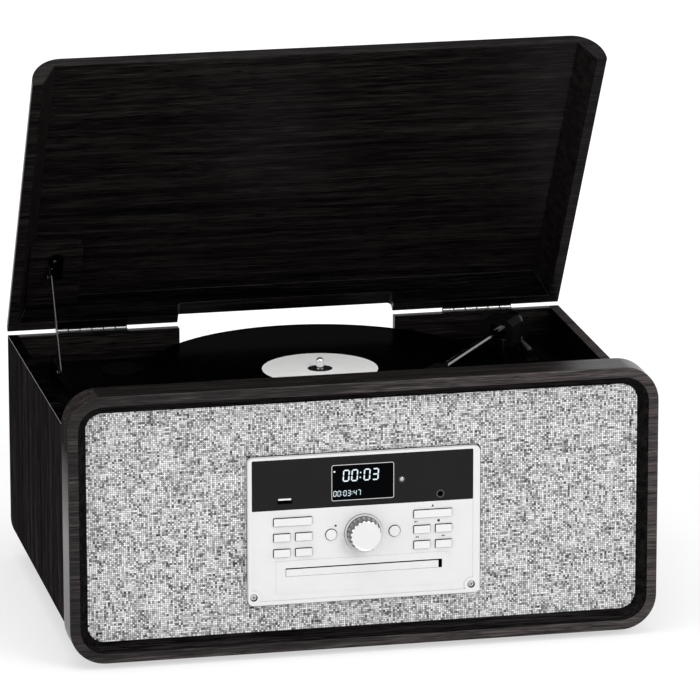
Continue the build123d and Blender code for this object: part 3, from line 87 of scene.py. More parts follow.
# %% Values that can be added and multiplied
class Value:
    """A number that varies over a surface."""

    def __init__(self, tree, socket):
        self.tree, self.socket = tree, socket

    def maths(self, operation, *others):
        node = self.tree.nodes.new("ShaderNodeMath")
        node.operation = operation
        for place, value in enumerate(others):
            if isinstance(value, Value):
                self.tree.links.new(value.socket, node.inputs[place])
            else:
                node.inputs[place].default_value = value
        return Value(self.tree, node.outputs[0])

    def __add__(self, other): return self.maths("ADD", self, other)
    def __radd__(self, other): return self.maths("ADD", other, self)
    def __sub__(self, other): return self.maths("SUBTRACT", self, other)
    def __rsub__(self, other): return self.maths("SUBTRACT", other, self)
    def __mul__(self, other): return self.maths("MULTIPLY", self, other)
    def __truediv__(self, other): return self.maths("DIVIDE", self, other)
    def __gt__(self, other): return self.maths("GREATER_THAN", self, other)
    def __mod__(self, other): return self.maths("FLOORED_MODULO", self, other)
    def floor(self): return self.maths("FLOOR", self)
    def wave(self): return self.maths("SINE", self)
    def size(self): return self.maths("ABSOLUTE", self)
    def root(self): return self.maths("SQRT", self)
    def output(self, name): return Value(self.tree, self.socket.node.outputs[name])


print("operators:", sum(name.startswith("__") for name in vars(Value)))


# %% One material
class Finish:
    """A material with one Principled shader. Constants are set on the shader's own sockets."""

    def __init__(self, name, color=(0.5, 0.5, 0.5), **constants):
        self.material = bpy.data.materials.new(name)
        self.material.use_nodes = True
        self.tree = self.material.node_tree
        self.shader = self.tree.nodes["Principled BSDF"]
        self.shader.inputs["Base Color"].default_value = (*color, 1)
        for socket, value in constants.items():
            self.shader.inputs[socket.replace("_", " ")].default_value = value

    def node(self, kind, settings=None, output=0, **sockets):
        made = self.tree.nodes.new(kind)
        for key, value in (settings or {}).items():
            if key == "stops":
                ramp = made.color_ramp
                while len(ramp.elements) < len(value):
                    ramp.elements.new(0.5)
                for element, (place, color) in zip(ramp.elements, value):
                    element.position = place
                    element.color = (*color, 1) if isinstance(color, tuple) else (color, color, color, 1)
            else:
                setattr(made, key, value)
        for key, value in sockets.items():
            numbered = key[0] == "n" and key[1:].isdigit()
            socket = made.inputs[int(key[1:]) if numbered else key.replace("_", " ")]
            if isinstance(value, Value):
                self.tree.links.new(value.socket, socket)
            else:
                socket.default_value = value
        return Value(self.tree, made.outputs[output])

    def place(self):
        """x, y and z on the object, in millimetres."""
        parts = self.node("ShaderNodeSeparateXYZ", Vector=self.node("ShaderNodeTexCoord").output("Object"))
        return [parts.output(axis) * 1000.0 for axis in "XYZ"]

    def vector(self, x, y, z):
        return self.node("ShaderNodeCombineXYZ", X=x, Y=y, Z=z)

    def noise(self, x, y, z, detail=2.0, rough=0.5):
        place = self.vector(x, y, z)
        return self.node("ShaderNodeTexNoise", Vector=place, Scale=1.0, Detail=detail, Roughness=rough)

    def ramp(self, value, *stops):
        return self.node("ShaderNodeValToRGB", {"stops": stops}, Fac=value)

    def limit(self, value, low, high, to_low=0.0, to_high=1.0):
        """Carry low..high to to_low..to_high and hold it there."""
        return self.node("ShaderNodeMapRange", n0=value, n1=low, n2=high, n3=to_low, n4=to_high)

    def mix(self, factor, first, second):
        return self.node("ShaderNodeMix", {"data_type": "RGBA"}, output=2, n0=factor, n6=first, n7=second)

    def feed(self, socket, value):
        self.tree.links.new(value.socket, self.shader.inputs[socket])

    def relief(self, height, depth_mm, strength=1.0):
        """Bump from a 0..1 height."""
        bump = self.node("ShaderNodeBump", Height=height, Distance=depth_mm * MM, Strength=strength)
        self.feed("Normal", bump)


finishes = {}
print("maths ready")

# %% [markdown]
# ## Wood-grain veneer
#
# The boards are wrapped in a dark open-pored foil: near-black brown with fine lighter fibres. Fibres
# are noise stretched along the grain: about 0.4 mm across and many centimetres long. A second, broader
# noise gathers them into bands. On the bezel, the lid and the back panel the grain runs from side to
# side. The body's foil is wrapped round the tube, so there the grain follows x below and z at the sides,
# and their sum serves for both. Lacquer on the bezel's flanks gives them a sheen, which fades towards
# the top of the left one as a painted reflection. Painted light makes the bezel's front and the walls'
# tops lighter towards the right and the body darker towards the top, and darker copies of the foil are
# painted shade.

# %% Veneer
# Noise steps per millimetre: along the grain, then across it.
FIBRES, BANDS, PORES, WANDER = (0.022, 1.25), (0.004, 0.16), (0.05, 2.2), (0.004, 0.03)
WANDER_MM = 5.0      # how far the grain bends


def veneer(name, dark, light, rough, specular, around=False, painted_light_slope=(0.0, 0.0), sheen=None, **lacquer):
    """Dark foil with a painted-light slope along x and z; sheen is two heights where lacquer fades, a painted
    reflection.
    """
    finish = Finish(name, Roughness=rough, Specular_IOR_Level=specular, **lacquer)
    x, y, z = finish.place()
    along, fine_y, fine_z = (x + z, y, 0.0) if around else (x, y, z)

    def streaks(steps, detail, rough=0.5):
        return finish.noise(along * steps[0], fine_y * steps[1], fine_z * steps[1], detail, rough)

    bend = streaks(WANDER, 1.0) * WANDER_MM
    fine_y, fine_z = fine_y + bend, fine_z + bend
    fibres, bands = streaks(FIBRES, 3.0, 0.7), streaks(BANDS, 2.0)
    pore = finish.limit(streaks(PORES, 1.0), 0.36, 0.44)
    # Painted light: the slope lightens or darkens the tone across the object.
    tone = finish.limit(fibres * 0.70 + bands * 0.30 + x * painted_light_slope[0] + z * painted_light_slope[1], 0.38, 0.62)
    middle = tuple(0.80 * a + 0.20 * b for a, b in zip(dark, light))
    wood = finish.ramp(tone, (0.0, dark), (0.45, middle), (1.0, light))
    in_pore = tuple(0.4 * a for a in dark)
    finish.feed("Base Color", finish.mix(pore, (*in_pore, 1), wood))
    finish.feed("Roughness", finish.limit(fibres, 0.3, 0.7, rough + 0.06, rough - 0.05))
    finish.relief(pore * 0.6 + tone * 0.4, 0.05, 0.4)
    # Painted reflection: the coat fades upward on the left flank and stays whole where x is positive.
    if sheen:
        faded = finish.limit(z, *sheen, 1.0, 0.0)
        finish.feed("Coat Weight", faded.maths("MAXIMUM", faded, x > 0.0))
    finishes[name] = finish.material


# Painted light: the bezel's front foil is lightened towards the right.
veneer("veneer_frame", (0.0075, 0.0063, 0.0063), (0.088, 0.074, 0.072), 0.30, 0.15, painted_light_slope=(0.00022, 0.0))
# Painted reflection: the flanks' lacquer fades towards the top on the left.
veneer("veneer_flank", (0.0075, 0.0063, 0.0063), (0.070, 0.059, 0.058), 0.5, 0.0, sheen=(110.0, 190.0),
       Coat_Roughness=0.3, Coat_IOR=1.3)
# Painted shade: a darker copy of the foil for the bezel's top faces.
veneer("veneer_top", (0.003, 0.0025, 0.0025), (0.030, 0.0245, 0.024), 0.30, 0.12)
# Painted shade: a near-black copy of the foil for the bezel's slanted inner face.
veneer("veneer_bevel", (0.0015, 0.0013, 0.0013), (0.022, 0.0195, 0.0195), 0.5, 0.0)
# Painted shade: a darker copy of the foil for the lid and the back panel.
veneer("veneer_lid", (0.0015, 0.0013, 0.0013), (0.026, 0.0205, 0.0205), 0.30, 0.05)
# Painted shade: a near-black copy of the foil for inner walls that lie in shade.
veneer("veneer_shade", (0.0004, 0.0004, 0.0004), (0.008, 0.007, 0.007), 0.6, 0.0)
# Painted light: the body's foil is darkened towards the top.
veneer("veneer_body", (0.0055, 0.0046, 0.0048), (0.050, 0.042, 0.044), 0.6, 0.0, around=True,
       painted_light_slope=(0.0, -0.00018))
# Painted shade and light: a dark copy of the foil for the walls' tops, lightened towards the right.
veneer("veneer_rim", (0.0005, 0.0005, 0.0005), (0.060, 0.052, 0.052), 0.6, 0.0, around=True,
       painted_light_slope=(0.0006, 0.0))
print("veneers:", list(finishes))

# %% [markdown]
# ## Grille cloth
#
# The cloth is a plain weave of light and charcoal yarn. In a plain weave each crossing shows the warp
# or the weft by turns, like a chessboard. Every yarn has its own shade, which drifts along its length,
# and the slubs of both directions together give the heather look. Each crossing has a fleck of its own
# besides, and the yarns stray a little from their lines. The weave's relief is real mesh: one
# row of points for each yarn, raised and lowered by turns.

# %% Cloth finish
YARN = 1.7           # distance between yarns in millimetres
STRAY = 0.9          # how far a yarn strays from its line, in yarns


def heather_cloth(name):
    finish = Finish(name, Roughness=0.92, Specular_IOR_Level=0.2, Sheen_Weight=0.15, Sheen_Roughness=0.5)
    x, y, z = finish.place()
    across = x / YARN + finish.noise(x * 0.09, 0.0, z * 0.03) * STRAY
    up = z / YARN + finish.noise(x * 0.03, 7.0, z * 0.09) * STRAY
    column, row = across.floor(), up.floor()
    warp_on_top = (column + row) % 2.0
    warp = finish.noise(column * 7.31, up * 0.15, 3.7, detail=3.0, rough=0.75)
    weft = finish.noise(across * 0.15, row * 5.17, 9.1, detail=3.0, rough=0.75)
    cloud = finish.noise(x * 0.05, 0.0, z * 0.05)
    fleck = finish.node("ShaderNodeTexWhiteNoise", Vector=finish.vector(column, row, 0.0))
    shade = warp * warp_on_top + weft * (1.0 - warp_on_top) + (cloud - 0.5) * 0.12 + (fleck - 0.5) * 0.22
    yarn = finish.ramp(finish.limit(shade, 0.26, 0.70),
                       (0.0, 0.03), (0.25, 0.19), (0.50, 0.53), (0.75, 0.81), (1.0, 0.96))
    crown_x = ((across % 1.0) * math.pi).wave()
    crown_z = ((up % 1.0) * math.pi).wave()
    # Painted shade between the yarns: the colour goes towards near-black where they part and cross.
    gap = finish.limit(crown_x + crown_z, 0.40, 1.25)
    finish.feed("Base Color", finish.mix(gap, (0.015, 0.015, 0.015, 1), yarn))
    hair = finish.noise(x * 6.0, y * 6.0, z * 6.0)
    finish.relief(crown_x * crown_z * 0.8 + hair * 0.2, 0.25, 0.7)
    finishes[name] = finish.material


heather_cloth("heather_cloth")
print("yarns across the grille:", round(467 / YARN))

# %% [markdown]
# ## Paint, plastic, metal, vinyl and paper
#
# Few real surfaces are one flat colour. Each finish here gets a faint mottle in its colour and
# roughness, and a relief at the scale that the material has: paint ripples over millimetres, moulded
# plastic has a spark-eroded texture of tenths, turned metal has rings and rolled metal has scratches.

# %% Plain finishes with a surface
def coated(name, color, roughness, grain=1.5, depth=0.01, vary=0.06, specular=0.5, **constants):
    """Paint or moulded plastic: a mottled colour and a fine relief, grain per millimetre."""
    finish = Finish(name, Roughness=roughness, Specular_IOR_Level=specular, **constants)
    x, y, z = finish.place()
    mottle = finish.noise(x * 0.06, y * 0.06, z * 0.06, detail=3.0)
    speck = finish.noise(x * grain, y * grain, z * grain)
    low = tuple(c * (1 - vary) for c in color)
    high = tuple(min(1.0, c * (1 + vary)) for c in color)
    finish.feed("Base Color", finish.mix(finish.limit(mottle, 0.3, 0.7), (*low, 1), (*high, 1)))
    finish.feed("Roughness", finish.limit(mottle + speck * 0.3, 0.3, 1.0, roughness - 0.04, roughness + 0.06))
    finish.relief(speck, depth)
    finishes[name] = finish.material


def metal(name, color, roughness, rolled=True, depth=0.004, **constants):
    """Rolled metal has scratches along x; cast or plated metal has an even grain."""
    finish = Finish(name, color, Metallic=1.0, Roughness=roughness, **constants)
    x, y, z = finish.place()
    steps = (0.04, 3.0, 3.0) if rolled else (1.2, 1.2, 1.2)
    scratch = finish.noise(x * steps[0], y * steps[1], z * steps[2], detail=3.0)
    cloud = finish.noise(x * 0.08, y * 0.08, z * 0.08)
    wear = scratch * 0.6 + cloud * 0.4
    finish.feed("Roughness", finish.limit(wear, 0.3, 0.7, roughness - 0.06, roughness + 0.10))
    finish.relief(scratch, depth)
    finishes[name] = finish.material


coated("silver_paint", (0.76, 0.76, 0.765), 0.42, grain=2.5, depth=0.006, vary=0.02, Coat_Weight=0.15)
coated("key_paint", (0.79, 0.79, 0.79), 0.40, grain=3.0, depth=0.006, vary=0.02)
coated("gloss_black", (0.004, 0.004, 0.004), 0.18, grain=0.5, depth=0.002, vary=0.1, specular=0.18)
coated("window_black", (0.0006, 0.0008, 0.0012), 0.08, grain=0.5, depth=0.001, specular=0.02)
coated("black_plastic", (0.0030, 0.0028, 0.0029), 0.5, grain=5.0, depth=0.01, specular=0.02)
# Painted shade: black for slots, recesses, screw crosses, the keys' flanks and the shadow round the panel.
coated("slit_black", (0.004, 0.004, 0.004), 0.8, grain=5.0, depth=0.01, specular=0.0)
coated("deck_plastic", (0.0008, 0.0008, 0.0008), 0.16, grain=2.0, depth=0.002, specular=0.03)
coated("lever_grey", (0.045, 0.045, 0.046), 0.3, grain=4.0, depth=0.01)
coated("rubber", (0.016, 0.016, 0.016), 0.8, grain=3.0, depth=0.03, specular=0.25)
coated("mat_rubber", (0.02, 0.02, 0.02), 0.85, grain=2.0, depth=0.05)
coated("fibreboard", (0.03, 0.027, 0.024), 0.85, grain=1.5, depth=0.08, vary=0.2)
coated("circuit_board", (0.02, 0.10, 0.04), 0.45, grain=0.8, depth=0.03, vary=0.25)
coated("cone_paper", (0.03, 0.03, 0.03), 0.9, grain=2.0, depth=0.05, vary=0.2)
coated("dark_mark", (0.006, 0.006, 0.006), 0.6, specular=0.1)
# Painted shade: grey for the walls of the panel's low steps.
coated("line_grey", (0.30, 0.30, 0.30), 0.6)
# Grey of the socket rings, and a painted highlight on the outer edge of the walls' tops.
coated("ring_grey", (0.05, 0.05, 0.05), 0.35)
coated("tongue_white", (0.9, 0.9, 0.9), 0.4)
coated("label_paper", (0.90, 0.90, 0.89), 0.6, grain=3.0, depth=0.01, vary=0.02)
metal("steel", (0.60, 0.60, 0.61), 0.32)
metal("stay_steel", (0.085, 0.083, 0.08), 0.2, rolled=False, depth=0.001)
metal("chrome", (0.82, 0.82, 0.83), 0.14, rolled=False, depth=0.001)
# Painted glint: the sensor's lens is silver metal that shines as a whole.
metal("lens_silver", (0.5, 0.5, 0.5), 0.18, rolled=False, depth=0.001)
# Painted reflection: the tonearm's tube is a dark copy of silver, standing for the dark lid it reflects.
metal("arm_silver", (0.20, 0.20, 0.203), 0.09, rolled=False, depth=0.0005)
# Painted reflection: a dark copy of the chrome for the knob's flank, standing for the dark surroundings it
# reflects.
metal("knob_flank", (0.20, 0.20, 0.202), 0.14, rolled=False, depth=0.001)
metal("aluminium", (0.70, 0.70, 0.71), 0.22)
metal("brass", (0.72, 0.52, 0.22), 0.3, rolled=False)
metal("black_metal", (0.006, 0.006, 0.0062), 0.35, rolled=False)
FIRST_KNUCKLE, KNUCKLE = 141.75, 10.4167     # where each hinge begins on either side, and a knuckle's length


def knuckle_bands(name):
    """Bright steel with a dark band where two knuckles meet. Both hinges are alike about the middle."""
    finish = Finish(name, Metallic=1.0, Roughness=0.2)
    x, y, z = finish.place()
    turn = ((x.size() - FIRST_KNUCKLE) / KNUCKLE) % 1.0
    edge = 0.5 - (turn - 0.5).size()
    bright = finish.limit(edge, 0.04, 0.07)
    finish.feed("Base Color", finish.mix(bright, (0.02, 0.02, 0.02, 1), (0.62, 0.61, 0.60, 1)))
    finish.relief(finish.noise(x * 0.4, y * 3.0, z * 3.0), 0.004)
    finishes[name] = finish.material


knuckle_bands("knuckle")
print(len(finishes), "finishes")

# %% [markdown]
# ## Pressed vinyl and the knob's spun face
#
# A record's grooves are finer than any picture, but light shows them as a satin sheen in rings. The
# distance from the spindle drives the relief, and a slow noise on it makes the quieter bands between
# the tracks. The knob's face is spun in the same way.

# %% Ringed finishes
def ringed(name, centre, axes, color, roughness, pitch, depth, **constants):
    """Rings about a point: centre is in metres, axes names the two directions they lie in."""
    finish = Finish(name, color, **constants)
    x, y, z = finish.place()
    place = {"x": x - centre[0] * 1000, "y": y - centre[1] * 1000, "z": z - centre[2] * 1000}
    u, v = place[axes[0]], place[axes[1]]
    radius = (u * u + v * v).root()
    ring = finish.noise(radius / pitch, 0.0, 0.0)
    track = finish.noise(radius * 0.11, 4.0, 0.0, detail=1.0)
    satin = ring * 0.5 + track * 0.5
    finish.feed("Roughness", finish.limit(satin, 0.3, 0.7, roughness - 0.06, roughness + 0.1))
    finish.relief(ring, depth)
    finishes[name] = finish.material


def centre_of(node):
    low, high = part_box(node)
    return (low + high) / 2


spindle, knob_centre = centre_of("record"), centre_of("volume_knob")
ringed("vinyl", spindle, "xy", (0.0006, 0.0006, 0.0006), 0.15, 0.5, 0.004, Specular_IOR_Level=0.0003)
ringed("spun_chrome", knob_centre, "xz", (0.80, 0.80, 0.805), 0.30, 0.35, 0.004, Metallic=1.0)
print("spindle at", [round(v, 4) for v in spindle])

# %% [markdown]
# ## Softened solids
#
# No real edge is knife-sharp: veneer wraps round it, a mould leaves a small radius. Those radii catch
# the light and make a thing look made. Each visible solid is copied, its loose triangles are merged,
# flat faces are joined again, and a Bevel modifier rounds what is left. Its result is kept as a plain
# mesh that stands for the solid.

# %% Copy, merge and round one solid
def keep_modifiers(piece):
    """Turn what the modifiers show into the piece's own mesh."""
    evaluated = piece.evaluated_get(bpy.context.evaluated_depsgraph_get())
    mesh = bpy.data.meshes.new_from_object(evaluated)
    piece.modifiers.clear()
    old = piece.data
    piece.data = mesh
    bpy.data.meshes.remove(old)


EDGE_SEGMENTS, EDGE_ANGLE, SMOOTH_ANGLE = 2, 35, 28     # facets of an edge; degrees from which it is one


def softened(node, finish, radius_mm):
    """A copy of a solid with rounded edges that stands for it."""
    mesh = nodes[node].data.copy()
    mesh.name = node + "_dressed"
    work = bmesh.new()
    work.from_mesh(mesh)
    bmesh.ops.remove_doubles(work, verts=work.verts, dist=2e-6)
    bmesh.ops.dissolve_limit(work, angle_limit=0.004, verts=work.verts, edges=work.edges)
    work.to_mesh(mesh)
    work.free()
    piece = bpy.data.objects.new(mesh.name, mesh)
    scene.collection.objects.link(piece)
    mesh.materials.clear()
    mesh.materials.append(finishes[finish])
    if radius_mm:
        bevel = piece.modifiers.new("edge", "BEVEL")
        bevel.width = radius_mm * MM
        bevel.segments = EDGE_SEGMENTS
        bevel.limit_method = "ANGLE"
        bevel.angle_limit = math.radians(EDGE_ANGLE)
        bevel.harden_normals = False
        keep_modifiers(piece)
    piece.data.polygons.foreach_set("use_smooth", [True] * len(piece.data.polygons))
    piece.data.set_sharp_from_angle(angle=math.radians(SMOOTH_ANGLE))
    flat = piece.modifiers.new("flat_faces", "WEIGHTED_NORMAL")
    flat.keep_sharp = True
    keep_modifiers(piece)
    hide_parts(node)
    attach(piece, body_of_node[node])
    return piece


print("edges sharper than", EDGE_ANGLE, "degrees are rounded")

# %% [markdown]
# Wood gets a radius of about half a millimetre, moulded keys a little less, and bent steel a mere hint.
# Turned pieces only need their facets smoothed.

# %% Dress the solids
key_names = sorted(n for n in nodes if n.startswith(("key_", "round_key")))
# The finish of each solid and the radius of its edges in millimetres.
dress = {"front_bezel": ("veneer_frame", 0.7), "lid": ("veneer_lid", 0.6),
         "cabinet_shell": ("veneer_body", 0.6), "back_panel": ("veneer_lid", 0.5),
         **{key: ("key_paint", 0.35) for key in key_names},
         "faceplate": ("silver_paint", 0.0), "cd_tray": ("black_plastic", 0.3),
         "turntable_deck": ("deck_plastic", 0.0), "arm_base": ("deck_plastic", 0.5),
         "arm_turret": ("black_plastic", 0.4), "arm_rest": ("black_plastic", 0.3),
         "adapter_45": ("black_plastic", 0.3), "headshell": ("black_plastic", 0.3),
         "cue_lever": ("lever_grey", 0.4), "speed_switch": ("silver_paint", 0.3),
         "terminal_plate": ("black_plastic", 0.3), "mains_inlet": ("black_plastic", 0.0),
         "rubber_feet": ("rubber", 0.0), "display_module": ("window_black", 0.2),
         "display_fascia": ("gloss_black", 0.0), "stay_arm": ("stay_steel", 0.15),
         "stay_track": ("black_metal", 0.15), "stay_lid_bracket": ("black_metal", 0.15),
         "hinge_cabinet_leaves": ("black_metal", 0.0), "hinge_lid_leaves": ("black_metal", 0.0),
         "arm_tube": ("arm_silver", 0.0), "counterweight": ("black_metal", 0.0),
         "lift_bar": ("black_metal", 0.0), "platter_spindle": ("chrome", 0.0), "platter": ("aluminium", 0.0),
         "rear_sockets": ("steel", 0.0), "usb_socket": ("black_plastic", 0.0), "faceplate_screws": ("steel", 0.0),
         "volume_knob": ("spun_chrome", 0.25), "audio_jack": ("black_plastic", 0.0),
         "motor_pulley": ("brass", 0.0), "spindle_bearing": ("brass", 0.0), "record": ("vinyl", 0.0)}
hidden = {"speaker_baffle": "fibreboard", "speaker_frames": "black_metal", "speaker_cones": "cone_paper",
          "control_board": "circuit_board", "main_board": "circuit_board", "cd_drive": "black_metal",
          "turntable_motor": "steel", "drive_belt": "rubber", "slip_mat": "mat_rubber"}
dressed = {node: softened(node, finish, radius) for node, (finish, radius) in dress.items()}
for node, finish in hidden.items():
    nodes[node].data.materials.clear()
    nodes[node].data.materials.append(finishes[finish])
print(len(dressed), "solids dressed,", len(hidden), "inner ones finished")

# %% [markdown]
# Some solids carry two finishes. The bezel's slanted inner face and its top are darkened as painted
# shade, and its flanks are lacquered with a painted reflection that fades upwards on the left. The shell
# is painted dark inside as shade, the walls' tops carry a painted highlight on their outer edge, the
# knob's flank is a dark painted reflection, the walls of the panel's slots, its steps and the flanks of
# its keys are painted dark as shade, and only the knuckles of the hinges are bright.

# %% A second finish on chosen faces
def box_mm(node):
    return [corner * 1000 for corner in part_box(node)]


def middle_mm(node):
    middle = centre_of(node) * 1000
    return middle.x, middle.z


bezel_low, bezel_high = box_mm("front_bezel")
bezel_middle = (bezel_low + bezel_high) / 2
plate_low, plate_high = box_mm("faceplate")
tray_front, screw_front = box_mm("cd_tray")[0].y, box_mm("faceplate_screws")[0].y
shell_top = box_mm("cabinet_shell")[1].z
knob_at = knob_centre * 1000
hinge_high = box_mm("hinge_cabinet_leaves")[1]
KNUCKLE_RADIUS = 1.45
hinge_y, hinge_z = hinge_high.y - KNUCKLE_RADIUS, hinge_high.z - KNUCKLE_RADIUS
round_keys = [centre_of(node) * 1000 for node in ("round_key_left", "round_key_right")]
STEP = 0.75          # the plate's low steps are less deep than this
BEVEL_BACK = 31      # the bezel's inner face ends this far behind its front


def outward(at, normal):
    """Positive on the bezel's outside, negative on the inside of its opening."""
    return (at.x - bezel_middle.x) * normal.x + (at.z - bezel_middle.z) * normal.z


def away(at, point):
    return math.hypot(at.x - point.x, at.z - point.z)


# The bezel's slanted inner face, which gets painted shade.
def on_bevel(at, normal):
    return outward(at, normal) < 0 and -0.93 < normal.y < 0.5 and at.y < bezel_low.y + BEVEL_BACK


def on_flank(at, normal):
    """The bezel's outer sides and its round corners, but not its top and bottom."""
    return outward(at, normal) > 0 and abs(normal.y) < 0.5 and abs(normal.x) > 0.15


def on_lid_wall(at, normal):
    """The inner face of the lid's rear wall, which gets painted shade."""
    return normal.z > 0.3 and normal.y < -0.8 and at.z < hinge_z + 60


def on_rim_edge(at, normal):
    """The rounded outer edge of the side walls' tops, which gets a painted highlight."""
    return 0.2 < normal.z < 0.6 and at.x * normal.x > 0 and at.z > shell_top - 3


def on_plate_wall(at, normal):
    """Walls of the tray's slot, the round keys' holes, the screws' seats and the knob's ring, painted black as
    shade.
    """
    beside = plate_low.x + 3 < at.x < plate_high.x - 3 and plate_low.z + 3 < at.z < plate_low.z + 42
    round_hole = any(away(at, key) < 6.5 for key in round_keys)
    wall = abs(normal.y) < 0.5 and at.y > plate_low.y + STEP and (beside or round_hole)
    knob_ring = 14.0 < away(at, knob_at) < 17.2 and abs(normal.y) < 0.93 and at.y < plate_low.y + 2
    return wall or knob_ring


def on_step(at, normal):
    """The low steps round the field, the bosses and the tray's field, which get painted shade."""
    inside = plate_low.x + 1.5 < at.x < plate_high.x - 1.5 and plate_low.z + 1.5 < at.z < plate_high.z - 1.5
    return inside and abs(normal.y) < 0.7 and at.y < plate_low.y + STEP


def on_cross(at, normal):
    """The cross recess of the panel's screws, painted black as shade."""
    wall = abs(normal.x) + abs(normal.z) > 0.9 and at.y > screw_front + 0.1
    floor = normal.y < -0.9 and at.y > screw_front + 0.3
    return at.y < screw_front + 1.2 and (wall or floor)


def on_knuckle(at, normal):
    return math.hypot(at.y - hinge_y, at.z - hinge_z) < KNUCKLE_RADIUS + 0.2


def second_finish(node, finish, chosen):
    """Give the faces that chosen(middle in millimetres, normal) picks another finish."""
    piece = dressed[node]
    piece.data.materials.append(finishes[finish])
    faces = [face for face in piece.data.polygons if chosen(face.center * 1000, face.normal)]
    for face in faces:
        face.material_index = len(piece.data.materials) - 1
    return len(faces)


second = [("front_bezel", "veneer_bevel", on_bevel), ("front_bezel", "veneer_flank", on_flank),
          ("front_bezel", "veneer_top", lambda at, n: n.z > 0.985 and at.z > bezel_high.z - 8),
          # Painted shade: the lid's rear wall and the shell's inner walls are made near-black.
          ("lid", "veneer_shade", on_lid_wall),
          ("cabinet_shell", "veneer_shade", lambda at, n: at.x * n.x < 0 and abs(n.x) > 0.9),
          ("cabinet_shell", "veneer_rim", lambda at, n: n.z > 0.6 and at.z > shell_top - 3),
          ("cabinet_shell", "ring_grey", on_rim_edge),
          ("faceplate", "line_grey", on_step), ("faceplate", "slit_black", on_plate_wall),
          ("cd_tray", "silver_paint", lambda at, n: n.y < -0.6 and at.y < tray_front + 1),
          ("volume_knob", "knob_flank", lambda at, n: abs(n.y) < 0.75),
          ("hinge_cabinet_leaves", "knuckle", on_knuckle), ("hinge_lid_leaves", "knuckle", on_knuckle),
          ("faceplate_screws", "slit_black", on_cross)]
# Painted shade: the keys' flanks are made black.
second += [(key, "slit_black", lambda at, n: abs(n.y) < 0.35) for key in key_names]
print(sum(second_finish(*line) for line in second), "faces have a second finish")

# %% [markdown]
# ## Grille cloth
#
# The cloth is stretched over the baffle board. A grid with one point per yarn is laid over the board's
# outline, corners cut round, and each point is lifted or lowered by turns for the weave. The sheet is
# left open behind the middle of the control panel.

# %% Woven sheet
CORNER = 13.5 * MM                      # radius of the cloth's corners
LIES, LIFT = 0.30 * MM, 0.13 * MM       # how deep the sheet lies; how far a point leaves its plane
TUCK_X, TUCK_Z = 12 * MM, 8 * MM        # how far the cloth goes on behind the panel


def woven_sheet():
    low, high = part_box("grille_cloth")
    panel_low, panel_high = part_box("faceplate")
    width, height = high.x - low.x, high.z - low.z
    columns, rows = int(width / (YARN * MM)), int(height / (YARN * MM))
    work = bmesh.new()
    grid = {}
    for i in range(columns + 1):
        for j in range(rows + 1):
            x, z = low.x + width * i / columns, low.z + height * j / rows
            inner_x = min(max(x, low.x + CORNER), high.x - CORNER)
            inner_z = min(max(z, low.z + CORNER), high.z - CORNER)
            beyond = math.hypot(x - inner_x, z - inner_z)
            if beyond > CORNER * 1.06:
                continue
            if beyond > CORNER:
                x = inner_x + (x - inner_x) * CORNER / beyond
                z = inner_z + (z - inner_z) * CORNER / beyond
            behind_x = panel_low.x + TUCK_X < x < panel_high.x - TUCK_X
            if behind_x and panel_low.z + TUCK_Z < z < panel_high.z - TUCK_Z:
                continue
            lift = LIFT if (i + j) % 2 else -LIFT
            grid[i, j] = work.verts.new((x, low.y + LIES + lift, z))
    for i in range(columns):
        for j in range(rows):
            corners = [grid.get(k) for k in ((i, j), (i + 1, j), (i + 1, j + 1), (i, j + 1))]
            present = [corner for corner in corners if corner]
            if len(present) > 2:
                work.faces.new(present)
    bmesh.ops.delete(work, geom=[v for v in work.verts if not v.link_faces], context="VERTS")
    mesh = bpy.data.meshes.new("grille_weave")
    work.to_mesh(mesh)
    work.free()
    mesh.materials.append(finishes["heather_cloth"])
    mesh.polygons.foreach_set("use_smooth", [True] * len(mesh.polygons))
    piece = bpy.data.objects.new("grille_weave", mesh)
    scene.collection.objects.link(piece)
    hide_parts("grille_cloth")
    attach(piece, body_of_node["grille_cloth"])


woven_sheet()

# %% [markdown]
# ## Small closed shapes
#
# What is too fine for the solids is drawn point by point. Loops of points are joined by quads, and the
# closed shape is either kept for copying or gets a finish and a body to ride on.

# %% Loops, prisms and finished pieces
def circle(sides):
    """Points of a unit circle."""
    return [(math.cos(2 * math.pi * k / sides), math.sin(2 * math.pi * k / sides)) for k in range(sides)]


def walls(work, first, second):
    """Quads between two loops with as many points."""
    for k in range(len(first)):
        after = (k + 1) % len(first)
        work.faces.new((first[k], first[after], second[after], second[k]))


def pattern(name, work):
    """An object out of sight, for copying or finishing."""
    bmesh.ops.recalc_face_normals(work, faces=work.faces)
    mesh = bpy.data.meshes.new(name)
    work.to_mesh(mesh)
    work.free()
    return bpy.data.objects.new(name, mesh)


def prism(name, outline, half):
    """An outline in the xz plane, half of its depth on either side."""
    work = bmesh.new()
    front, back = ([work.verts.new((x, y, z)) for x, z in outline] for y in (-half, half))
    work.faces.new(front)
    work.faces.new(list(reversed(back)))
    walls(work, back, front)
    return pattern(name, work)


def finished(name, work, finish, body, smooth=False):
    piece = pattern(name, work)
    piece.data.materials.append(finishes[finish])
    piece.data.polygons.foreach_set("use_smooth", [smooth] * len(piece.data.polygons))
    scene.collection.objects.link(piece)
    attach(piece, body)


print("a circle of 24 starts at", circle(24)[0])

# %% [markdown]
# ## Copies laid out by Geometry Nodes
#
# Screws, display segments and marks are one small shape many times. A node tree takes a list of points,
# each with its own turn and size, and puts a copy on each. The tree ends in Realize Instances and Set
# Material, so the result is one plain mesh.

